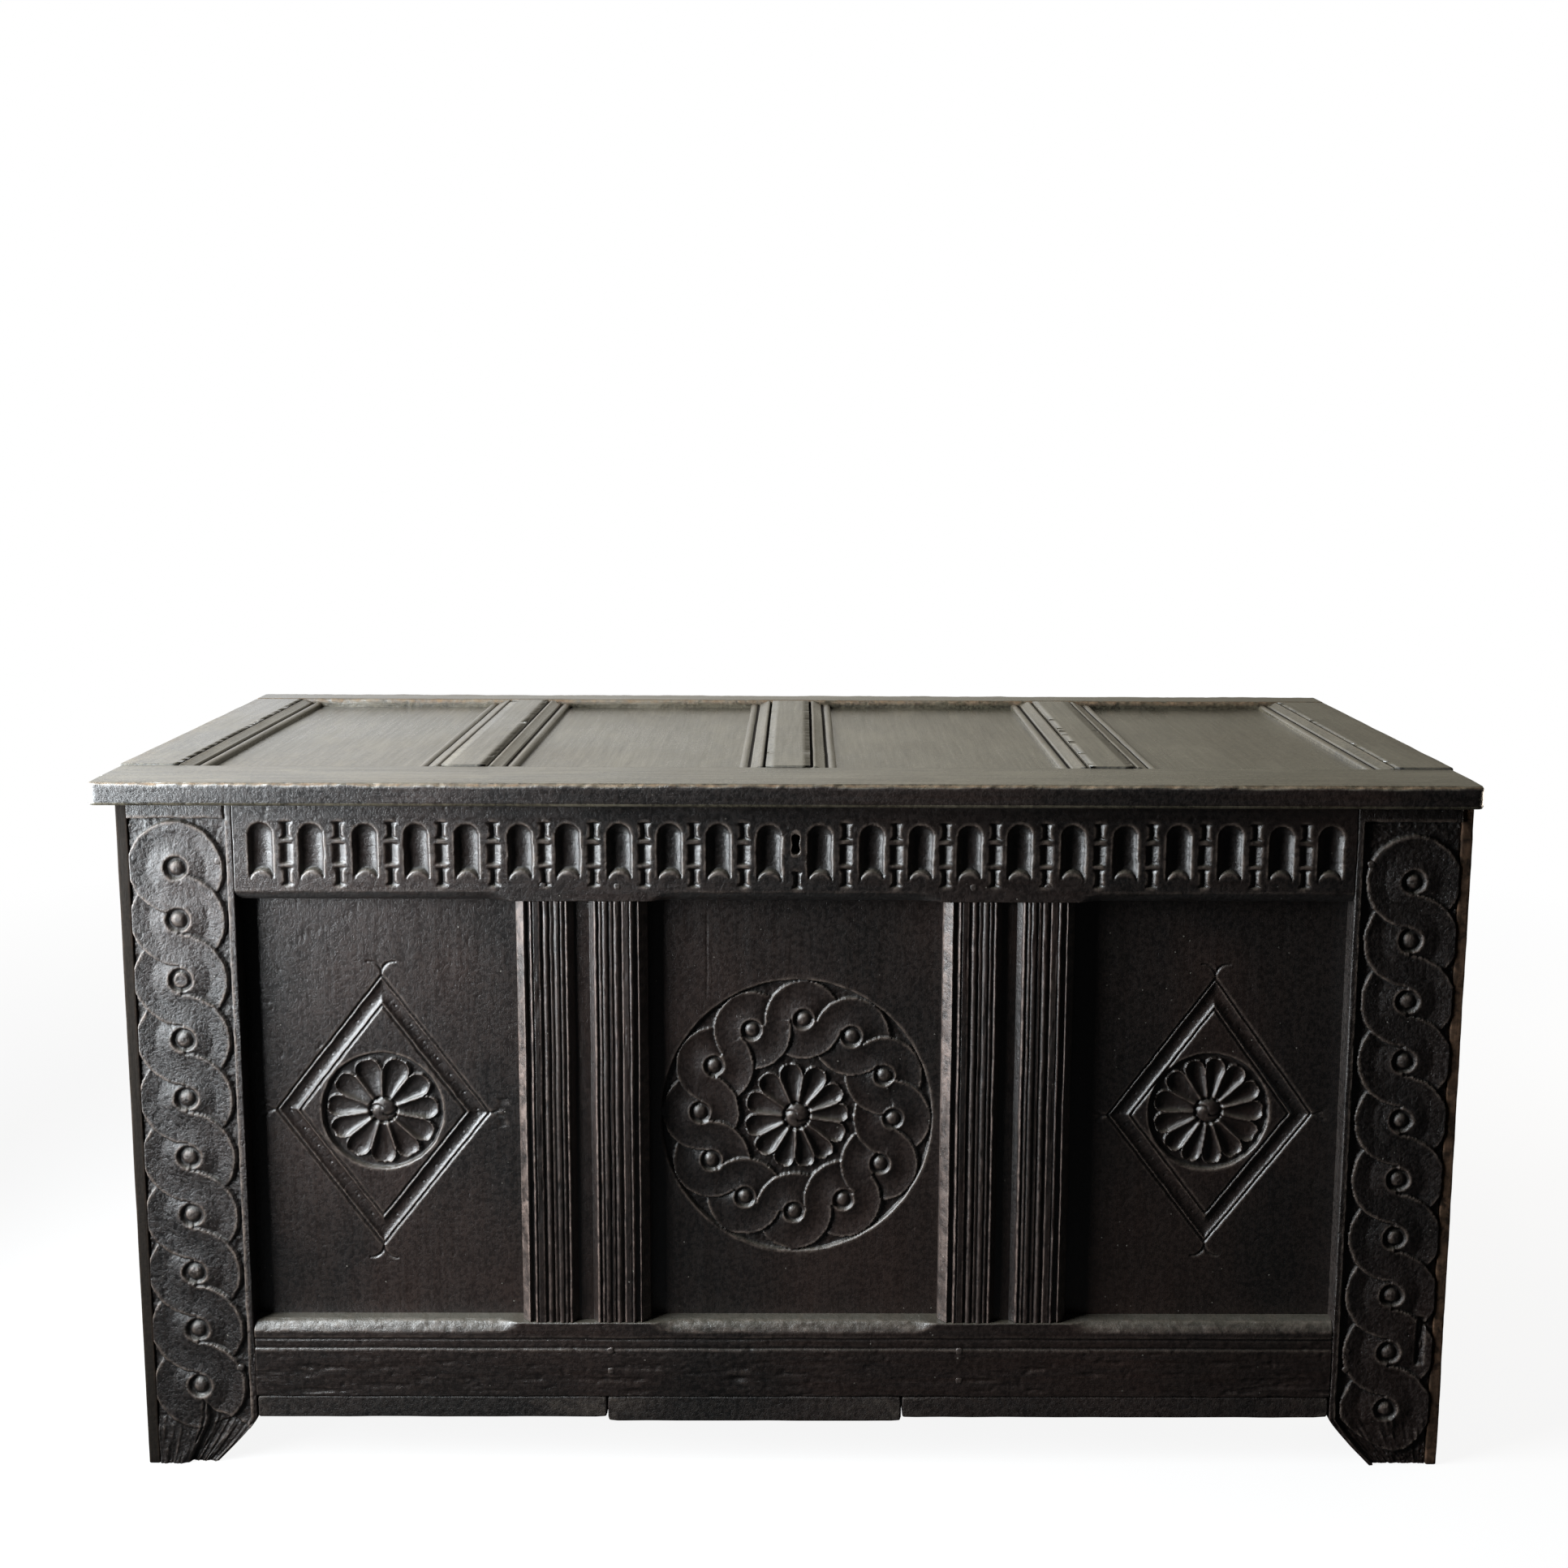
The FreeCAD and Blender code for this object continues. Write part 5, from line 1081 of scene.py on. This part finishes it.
def solids_of(node):
    """The low and high corners of each separate solid in a node, in millimetres."""
    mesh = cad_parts[node].data
    parent = list(range(len(mesh.vertices)))

    def root(i):
        while parent[i] != i:
            parent[i] = parent[parent[i]]
            i = parent[i]
        return i

    where = {}
    for vertex in mesh.vertices:
        spot = tuple(round(c, 6) for c in vertex.co)
        parent[root(vertex.index)] = root(where.setdefault(spot, vertex.index))
    for edge in mesh.edges:
        parent[root(edge.vertices[0])] = root(edge.vertices[1])
    groups = {}
    for vertex in mesh.vertices:
        groups.setdefault(root(vertex.index), []).append(tuple(vertex.co))
    return [(np.array(g).min(0) / MM, np.array(g).max(0) / MM) for g in groups.values()]


PEG_SIDES = 14
PEG_RINGS = [(0.35, 0.28), (0.85, 0.2), (1.0, -0.25), (1.0, -8.0)]
RAILS_APART = 400


def wood_face(u, v):
    """How far out the carved wood stands at one place of the front."""
    if abs(u) > OPENING:
        cut = stile(*STILES["left" if u < 0 else "right"])
    else:
        cut = top_rail if v > RAILS_APART else bottom_rail
    return -cut(np.array([[u]]), np.array([[v]]))[0, 0]


def front_pegs():
    """Hand-cut pegs whose ends follow the surface they stand in."""
    points, quads, caps = [], [], []
    rng = np.random.default_rng(7)
    angle = np.linspace(0, 2 * math.pi, PEG_SIDES, endpoint=False)
    for low, high in solids_of("front_pegs"):
        u, v = (low[X] + high[X]) / 2 - MIDDLE_X, (low[Z] + high[Z]) / 2
        surface = wood_face(u, v)
        radius = (high[X] - low[X]) / 2 * (0.9 + 0.1 * np.cos(angle * 4 + rng.uniform(0, 6)))
        first = len(points)
        for share, rise in PEG_RINGS:
            for r, a in zip(radius, angle):
                points.append((u + share * r * math.cos(a), v + share * r * math.sin(a),
                               min(surface + rise, 0)))
        rows = first + np.arange(len(PEG_RINGS) * PEG_SIDES).reshape(-1, PEG_SIDES)
        ahead = np.roll(rows, -1, axis=1)
        quads.append(np.stack([rows[:-1], rows[1:], ahead[1:], ahead[:-1]], -1).reshape(-1, 4))
        caps += [(rows[0], 0), (rows[-1][::-1], 0)]
    u, v, w = np.array(points).T
    quads = np.concatenate(quads)
    pegs = make_mesh("front_peg_ends", FRONT.points(u, v, w), quads, np.ones(len(quads), bool),
                     caps=caps, materials=[oak_peg],
                     marks_of={"wear": np.full(len(u), 0.35), "soil": np.zeros(len(u))})
    settle(pegs, "coffer", "oak_pegs", "front_pegs")


# ---------------------------------------------------------------- the carcase

END_FOOT_WIDTH, END_ARCH_HEIGHT = 88.0, 52.0


def carcase(name, node, *places, slot="oak_carcase", **shape):
    """A plank of the carcase that stands for a node."""
    settle(plank(name, ROW, *places, **shape), "coffer", slot, node)


def stile_foot(node, z):
    """A rear stile's span in x; its foot narrows from the inner side."""
    low, high = box_span(node, X)
    narrow = FOOT_CUT_WIDTH * max(0.0, 1 - z / FOOT_CUT_HEIGHT)
    return (low, high - narrow) if (low + high) / 2 < MIDDLE_X else (low + narrow, high)


def rear_boards():
    """The plain framed back."""
    for hand in ("left", "right"):
        node = f"rear_{hand}_stile"
        carcase(f"back_{hand}_stile", node, box_span(node, Z), lambda z, n=node: stile_foot(n, z),
                box_span(node, Y), [oak_back_z], "w", seed=200,
                stops=(20, 35, FOOT_CUT_HEIGHT, FOOT_CUT_HEIGHT + 0.5))
        node = f"rear_{hand}_muntin"
        carcase(f"back_{hand}_muntin", node, (BOTTOM_RAIL_HIGH, TOP_RAIL_LOW), box_span(node, X),
                box_span(node, Y), [oak_back_z], "w", seed=210)
    between = (box_span("rear_left_stile", X)[1], box_span("rear_right_stile", X)[0])
    for level in ("top", "bottom"):
        node = f"rear_{level}_rail"
        carcase(f"back_{level}_rail", node, between, box_span(node, Y), box_span(node, Z),
                [oak_back_x], "u", seed=220)
    for name in ("left", "centre", "right"):
        node = f"rear_{name}_panel"
        low, high = box_span(node, X)
        carcase(f"back_{name}_panel", node, (BOTTOM_RAIL_HIGH - TONGUE, TOP_RAIL_LOW + TONGUE),
                (low + 3, high - 3), box_span(node, Y), [oak_back_z], "w",
                section=rounded_section(0.8, 0.8, 24, 3), rough=0.5, seed=230)


def end_board(hand, part):
    """A board of an end, which stands on a foot beside the arch; the front ones show their edge."""
    node = f"{hand}_end_board_{part}"
    low, high = box_span(node, Y)

    def limits(z):
        if z > END_ARCH_HEIGHT:
            return low, high
        return (low, low + END_FOOT_WIDTH) if part == "front" else (high - END_FOOT_WIDTH, high)

    section = rounded_section(1.1, 1.1, 3, 26)
    # Painted light on the front edges: the right end's front edge takes wear with a painted highlight, the
    # left end wears less all over and its front edge takes painted shade.
    front_edge = (section[:, SHARE_UP] == 0) & (part == "front")
    if hand == "right":
        section[front_edge, RIM] = 0.8
    else:
        section[:, RIM] *= 0.3
    carcase(f"{hand}_end_{part}", node, box_span(node, Z), box_span(node, X), limits, [oak_end], "w",
            section=section, rough=0.15, rag=0.35, seed=250 + len(part),
            stops=(END_ARCH_HEIGHT - 0.2, END_ARCH_HEIGHT + 0.2),
            grime=np.where(front_edge, 0.8 * (hand == "left"), 0))


def end_boards():
    """Both ends: two rails inside, and two upright boards outside them."""
    inner = (FACE_Y + STILE_THICK, REAR_Y - STILE_THICK)
    for hand in ("left", "right"):
        for level in ("top", "bottom"):
            node = f"{hand}_end_{level}_rail"
            carcase(f"{hand}_end_{level}_bar", node, inner, box_span(node, X), box_span(node, Z),
                    [oak_inside_y], "v", seed=240)
        for part in ("front", "rear"):
            end_board(hand, part)


def bottom_boards():
    """The three bottom boards, notched round the stiles."""
    stiles = (box_span("front_left_stile", X)[1] + 1, box_span("front_right_stile", X)[0] - 1)
    notch = (FACE_Y + STILE_THICK + 1, REAR_Y - STILE_THICK - 1)
    for name in ("left", "centre", "right"):
        node = f"bottom_board_{name}"
        low, high = box_span(node, X)

        def limits(y, low=low, high=high):
            if notch[0] < y < notch[1]:
                return low, high
            return max(low, stiles[0]), min(high, stiles[1])

        carcase(f"floor_{name}", node, box_span(node, Y), limits, box_span(node, Z), [oak_base], "v",
                section=rounded_section(1.8, 1.2, 30, 5), rough=0.5, rag=1.0, seed=270 + len(name),
                stops=[place + gap for place in notch for gap in (-0.3, 0.3)], slot="oak_base")


# ---------------------------------------------------------------- the lid

LID = Placing((0, 0, LID_TOP), (1, 0, 0), (0, 1, 0))
NOSING, NOSING_DROP = 33.0, 2.0
FLAT_REACH = 87 - NOSING
RAIL_SUNK = 1.4
LID_CORNER = 10.0
PANEL_TUCKED = 3
LID_MEMBERS = {"left_end": (False, True), "left_muntin": (True, True), "centre_muntin": (True, True),
               "right_muntin": (True, True), "right_end": (True, False)}
LID_SEEDS = {"left_end": 320, "right_end": 325,
             "left_muntin": 330, "centre_muntin": 335, "right_muntin": 340}
MOULDING = [(0.0, -6.4), (-0.5, -5.6), (-1.6, -4.7), (-3.2, -4.1), (-5.0, -4.0), (-6.6, -4.5), (-7.8, -5.4),
            (-8.0, -5.7), (-10.8, -5.7), (-11.0, -5.5), (-11.1, -4.0), (-12.4, -3.7), (-14.4, -3.0),
            (-16.6, -2.1), (-18.6, -1.3), (-19.8, -0.8), (-20.1, -0.6), (-22.4, -0.6), (-22.8, -1.0),
            (-23.0, -7.5), (-25.7, -7.5), (-25.9, -6.0), (-26.0, -0.9), (-26.6, -0.2), (-27.6, 0.0)]
LONG_MATERIALS = [oak_lid_long, oak_rail, oak_inside_x, oak_edge]
CROSS_MATERIALS = [oak_lid_cross, oak_inside_y, oak_edge]


def worn_corner(across, up, radius, rim):
    """A corner of a section, with its own share of wear."""
    return [(*point[:RIM], rim) for point in corner_points(across, up, radius)]


def upper_edge(across, moulded):
    """One upper edge of a lid member: the moulding, or a worn corner."""
    if not moulded:
        return worn_corner(across, 1, 2.0, 0.25)
    points = [(across, a if across else -a, 1, b, 0.2 if b > -1.5 or -5 < b < -4 else 0)
              for a, b in MOULDING]
    return points if across else points[::-1]


def lid_section(left, right):
    """A lid member's section; left and right say which sides carry the moulding."""
    points = upper_edge(1, right)
    points += [(1 - t, 0, 1, 0, 0) for t in np.linspace(0, 1, 12)[3:-3]]
    points += upper_edge(0, left)
    points += side_points((0, 0.7), (0, 0), 2) + corner_points(0, 0, 1.2)
    points += side_points((0, 0), (1, 0), 8) + corner_points(1, 0, 1.2) + side_points((1, 0), (1, 0.7), 2)
    return np.array(points)


def painted_quirk_shade(section):
    """Painted shade in a moulding's deep places."""
    _, across, top, drop, _ = section.T
    outer = (top == 1) & (drop < -3.4) & (np.abs(across) > 22)
    inner = (top == 1) & (drop < -5.5) & (np.abs(across) > 7.9)
    return np.where(outer, 1.0, np.where(inner, 0.8, 0.0))


def underside(section):
    """Which points of a section lie flat on its lower face."""
    return (section[:, SHARE_UP] == 0) & (np.abs(section[:, SHIFT_UP]) < 0.001)


def lid_front_section():
    """The front rail's section: a nosing that falls to a worn arris, then the lid's front edge."""
    low, drop = RAIL_SUNK, NOSING_DROP
    points = [(1, 0, 1, -low - 2.6, 0), (1, -0.7, 1, -low - 1.3, 0), (1, -1.4, 1, -low - 0.4, 0),
              (1, -2.0, 1, -low, 0)]
    points += [(1, -a, 1, -low, 0) for a in np.linspace(2.8, FLAT_REACH, 12)]
    points += [(0, a, 1, -low - (drop - low) * (1 - a / NOSING) ** 1.2, 0.25 * (1 - a / NOSING) ** 3)
               for a in np.linspace(NOSING - 2, 4.5, 12)]
    points += [(0, 3.6, 1, -drop, 0.7), (0, 2.6, 1, -drop - 0.1, 1), (0, 1.8, 1, -drop - 0.3, 1),
               (0, 1.0, 1, -drop - 0.7, 1), (0, 0.4, 1, -drop - 1.4, 0.9), (0, 0.1, 1, -drop - 2.3, 0.6)]
    points += [(0, 0, 1, -b, 0) for b in np.linspace(drop + 3.4, LID_THICK - 3.4, 9)]
    points += worn_corner(0, 0, 2.8, 0.1)
    points += side_points((0, 0), (1, 0), 8) + corner_points(1, 0, 1.0) + side_points((1, 0), (1, 1), 4)
    return np.array(points)


def lid_board(name, node, *places, **shape):
    """A plank of the lid that stands for a node."""
    settle(plank(name, LID, *places, **shape), "lid", "oak_lid", node)


def lid_rails(thick):
    """The front rail with its nosing and round corners, and the plain back rail."""
    low, high = box_span("lid_front_rail", X)
    front, back = box_span("lid_front_rail", Y)

    def rounded_corner(x):
        inset = max(0.0, LID_CORNER - min(x - low, high - x))
        return front + LID_CORNER - math.sqrt(LID_CORNER ** 2 - inset ** 2), back

    section = lid_front_section()
    face = (section[:, SHARE_ACROSS] == 0) & (section[:, SHIFT_UP] < -NOSING_DROP - 1)
    # Painted shade along the front rail's rear arris, where it meets the members.
    grime = np.zeros(len(section))
    grime[:4] = 1.0
    lid_board("lid_front", "lid_front_rail", (low, high), rounded_corner, thick, LONG_MATERIALS, "u",
              section=section, pitch=2.0, rag=1.1, end_round=4.5, grime=grime,
              edges=np.where(underside(section), 2, face), seed=300,
              stops=(low + 0.6, low + 2, low + 3, high - 0.6, high - 2, high - 3))
    section = rounded_section(1.4, 2.2, 6, 3)
    back_face = (section[:, SHARE_ACROSS] == 1) & (section[:, RIM] == 0)
    lid_board("lid_back", "lid_back_rail", box_span("lid_back_rail", X), box_span("lid_back_rail", Y),
              thick, LONG_MATERIALS, "u", section=section, pitch=4, rough=0.3, seed=310,
              edges=np.where(underside(section), 2, back_face))


def lid_members(thick, inner_front, inner_back):
    """The lid's ends and muntins, moulded towards its panels."""
    for name, seed in LID_SEEDS.items():
        node = f"lid_{name}"
        section = lid_section(*LID_MEMBERS[name])
        # Painted shade in the quirks and on the rounded ends; the sides and the quirks take the dark edge
        # finish, which in the quirks is painted shade too.
        quirk_shade = painted_quirk_shade(section)
        sides_and_shaded_quirks = (section[:, SHARE_UP] < 1) & (section[:, SHARE_UP] > 0) | (quirk_shade > 0)
        lid_board(f"{node}_board", node, (inner_front + 0.3, inner_back - 0.3), box_span(node, X), thick,
                  CROSS_MATERIALS, "v", section=section, pitch=3.0, rough=0.3, rag=0.3, end_round=1.8,
                  seed=seed, grime=quirk_shade, end_grime=1.0,
                  edges=np.where(underside(section), 1, 2 * sides_and_shaded_quirks))


def lid_panels(inner_front, inner_back):
    """The four sunk panels, one between each two members."""
    members = list(LID_MEMBERS)
    for number, (before, after) in enumerate(zip(members, members[1:]), 1):
        node = f"lid_panel_{number}"
        span = (box_span(f"lid_{before}", X)[1] - PANEL_TUCKED,
                box_span(f"lid_{after}", X)[0] + PANEL_TUCKED)
        base, top = box_span(node, Z)
        sunk = LID_TOP - top

        def surface(u, v, span=span, seed=350 + 10 * number):
            cut = waves(0.5, u, v, seed, (0.45, 55, 190), (0.12, 9, 90))
            return cut + dents(u, v, 60, span, (-200, 232), 2.2, 0.35, seed + 2)

        vs = marks(inner_front - PANEL_TUCKED, inner_back + PANEL_TUCKED, 3.4)
        settle(relief_board(f"lid_field_{number}", LID, marks(*span, 2.4), vs, surface,
                            LID_TOP - sunk - base, [oak_lid_cross, oak_inside_y], base=sunk, arris=0.4,
                            seed=351 + number), "lid", "oak_lid", node)


def lid_boards():
    """The framed lid."""
    thick = (-LID_THICK, 0)
    inner_front, inner_back = box_span("lid_front_rail", Y)[1], box_span("lid_back_rail", Y)[0]
    lid_rails(thick)
    lid_members(thick, inner_front, inner_back)
    lid_panels(inner_front, inner_back)


front_boards()
front_pegs()
rear_boards()
end_boards()
bottom_boards()
lid_boards()

for node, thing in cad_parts.items():
    finish = oak_peg if node.endswith("pegs") else iron
    for place in thing.material_slots:
        place.material = finish


# ---------------------------------------------------------------- floor, light and camera

FLOOR_HALF = 14.0
FLOOR_SEEN, FLOOR_BOUNCE = (0.8, 0.8, 0.79), (0.012, 0.012, 0.012)
FLOOR_WHITE = 0.9
WHITE_FROM, WHITE_TO = 0.9, 2.6
ROOM_COLOUR, ROOM_LIGHT = (0.92, 0.96, 1.0, 1), 0.02
BACKDROP_RIGHT = 0.27
BACKDROP_WARM = (1.0, 0.92, 0.72)
BACKDROP_LEFT_X, BACKDROP_RIGHT_X = -0.3, 0.25


def pale_floor():
    """A pale floor that shows white, and keeps the chest's shadow."""
    mesh = bpy.data.meshes.new("floor")
    corners = [(x * FLOOR_HALF, y * FLOOR_HALF, 0) for x, y in ((-1, -1), (1, -1), (1, 1), (-1, 1))]
    mesh.from_pydata(corners, [], [(0, 1, 2, 3)])
    floor = bpy.data.objects.new("floor", mesh)
    bpy.context.scene.collection.objects.link(floor)
    paint = Paint("floor")
    mesh.materials.append(paint.material)
    rays = paint.node("ShaderNodeLightPath").outputs
    paint.feed(paint.shader.inputs["Base Color"], paint.mix(rays["Is Camera Ray"], FLOOR_BOUNCE, FLOOR_SEEN))
    paint.shader.inputs["Roughness"].default_value = 0.9
    paint.shader.inputs["Specular IOR Level"].default_value = 0.1
    behind = paint.ramp(paint.axes("Object")["Y"], 0.25, 0.8)
    seen = paint.calc("MAXIMUM", rays["Is Camera Ray"], rays["Is Transmission Ray"])
    seen = paint.calc("MAXIMUM", seen, paint.calc("MULTIPLY", rays["Is Glossy Ray"], behind))
    away = paint.node("ShaderNodeVectorMath", {0: paint.node("ShaderNodeTexCoord").outputs["Object"]},
                      operation="LENGTH").outputs["Value"]
    share = paint.calc("MULTIPLY", seen, paint.ramp(away, WHITE_FROM, WHITE_TO, FLOOR_WHITE, 1.0))
    white = paint.node("ShaderNodeEmission", {"Color": (1, 1, 1, 1), "Strength": 1.0}).outputs[0]
    both = paint.node("ShaderNodeMixShader", {0: share, 1: paint.shader.outputs[0], 2: white})
    paint.feed(paint.output.inputs["Surface"], both.outputs[0])


def studio_world():
    """A dim room with a white backdrop behind the chest, which shows white wherever it is seen."""
    world = bpy.data.worlds.new("studio")
    bpy.context.scene.world = world
    world.use_nodes = True
    world.node_tree.nodes.clear()
    paint = Nodes(world.node_tree)
    rays = paint.node("ShaderNodeLightPath").outputs
    way = paint.axes("Generated")
    behind = paint.ramp(way["Y"], -0.1, 0.35)
    across = paint.ramp(way["X"], BACKDROP_LEFT_X, BACKDROP_RIGHT_X, 1.0, BACKDROP_RIGHT)
    glossy = paint.calc("MULTIPLY", rays["Is Glossy Ray"], paint.calc("MULTIPLY", behind, across))
    direct = paint.calc("MAXIMUM", rays["Is Camera Ray"], rays["Is Transmission Ray"])
    seen = paint.calc("MAXIMUM", direct, glossy)
    room = paint.node("ShaderNodeBackground", {"Color": ROOM_COLOUR, "Strength": ROOM_LIGHT}).outputs[0]
    warmth = paint.calc("MULTIPLY", paint.ramp(way["X"], BACKDROP_LEFT_X, BACKDROP_RIGHT_X),
                        rays["Is Glossy Ray"])
    tint = paint.mix(warmth, (1, 1, 1), BACKDROP_WARM)
    white = paint.node("ShaderNodeBackground", {"Color": tint, "Strength": 1.0}).outputs[0]
    both = paint.node("ShaderNodeMixShader", {0: seen, 1: room, 2: white})
    output = paint.node("ShaderNodeOutputWorld")
    paint.feed(output.inputs["Surface"], both.outputs[0])


def softbox(name, place, target, width, height, power, tint):
    """A soft rectangular lamp that faces its target."""
    lamp = bpy.data.lights.new(name, "AREA")
    lamp.shape = "RECTANGLE"
    lamp.size, lamp.size_y = width, height
    lamp.energy = power
    lamp.color = tint
    thing = bpy.data.objects.new(name, lamp)
    bpy.context.scene.collection.objects.link(thing)
    thing.location = place
    thing.rotation_euler = (Vector(target) - Vector(place)).to_track_quat("-Z", "Y").to_euler()
    thing.visible_camera = False


CAMERA_PLACE = (0.0117, -1.8714, 0.9955)
CAMERA_PITCH, CAMERA_TURN, CAMERA_ROLL = 0.1438, 0.0050, -0.0042


def camera():
    """The viewpoint: a little right of the middle, above the lid and looking slightly down."""
    pitch, turn, roll = CAMERA_PITCH, CAMERA_TURN, CAMERA_ROLL
    data = bpy.data.cameras.new("camera")
    data.sensor_width = 36.0
    data.lens = 40.57
    data.shift_x, data.shift_y = -0.0160, -0.0560
    data.clip_end = 60
    thing = bpy.data.objects.new("camera", data)
    bpy.context.scene.collection.objects.link(thing)
    ahead = Vector((math.sin(turn) * math.cos(pitch), math.cos(turn) * math.cos(pitch), -math.sin(pitch)))
    level = Vector((math.cos(turn), -math.sin(turn), 0))
    below = ahead.cross(level)
    right = math.cos(roll) * level + math.sin(roll) * below
    down = -math.sin(roll) * level + math.cos(roll) * below
    basis = Matrix((right, -down, -ahead)).transposed().to_4x4()
    thing.matrix_world = Matrix.Translation(CAMERA_PLACE) @ basis
    bpy.context.scene.camera = thing


pale_floor()
studio_world()
softbox("window", place=(-1.12, -0.57, 1.25), target=(0.0, -0.57, 1.25), width=1.1, height=1.8,
        power=152, tint=(0.9, 0.96, 1.0))
softbox("fill", place=(2.2, 0.5, 0.36), target=(0.5, 0.1, 0.36), width=1.1, height=0.56,
        power=30, tint=(1.0, 0.88, 0.74))
camera()
bpy.context.scene.view_settings.view_transform = "Standard"
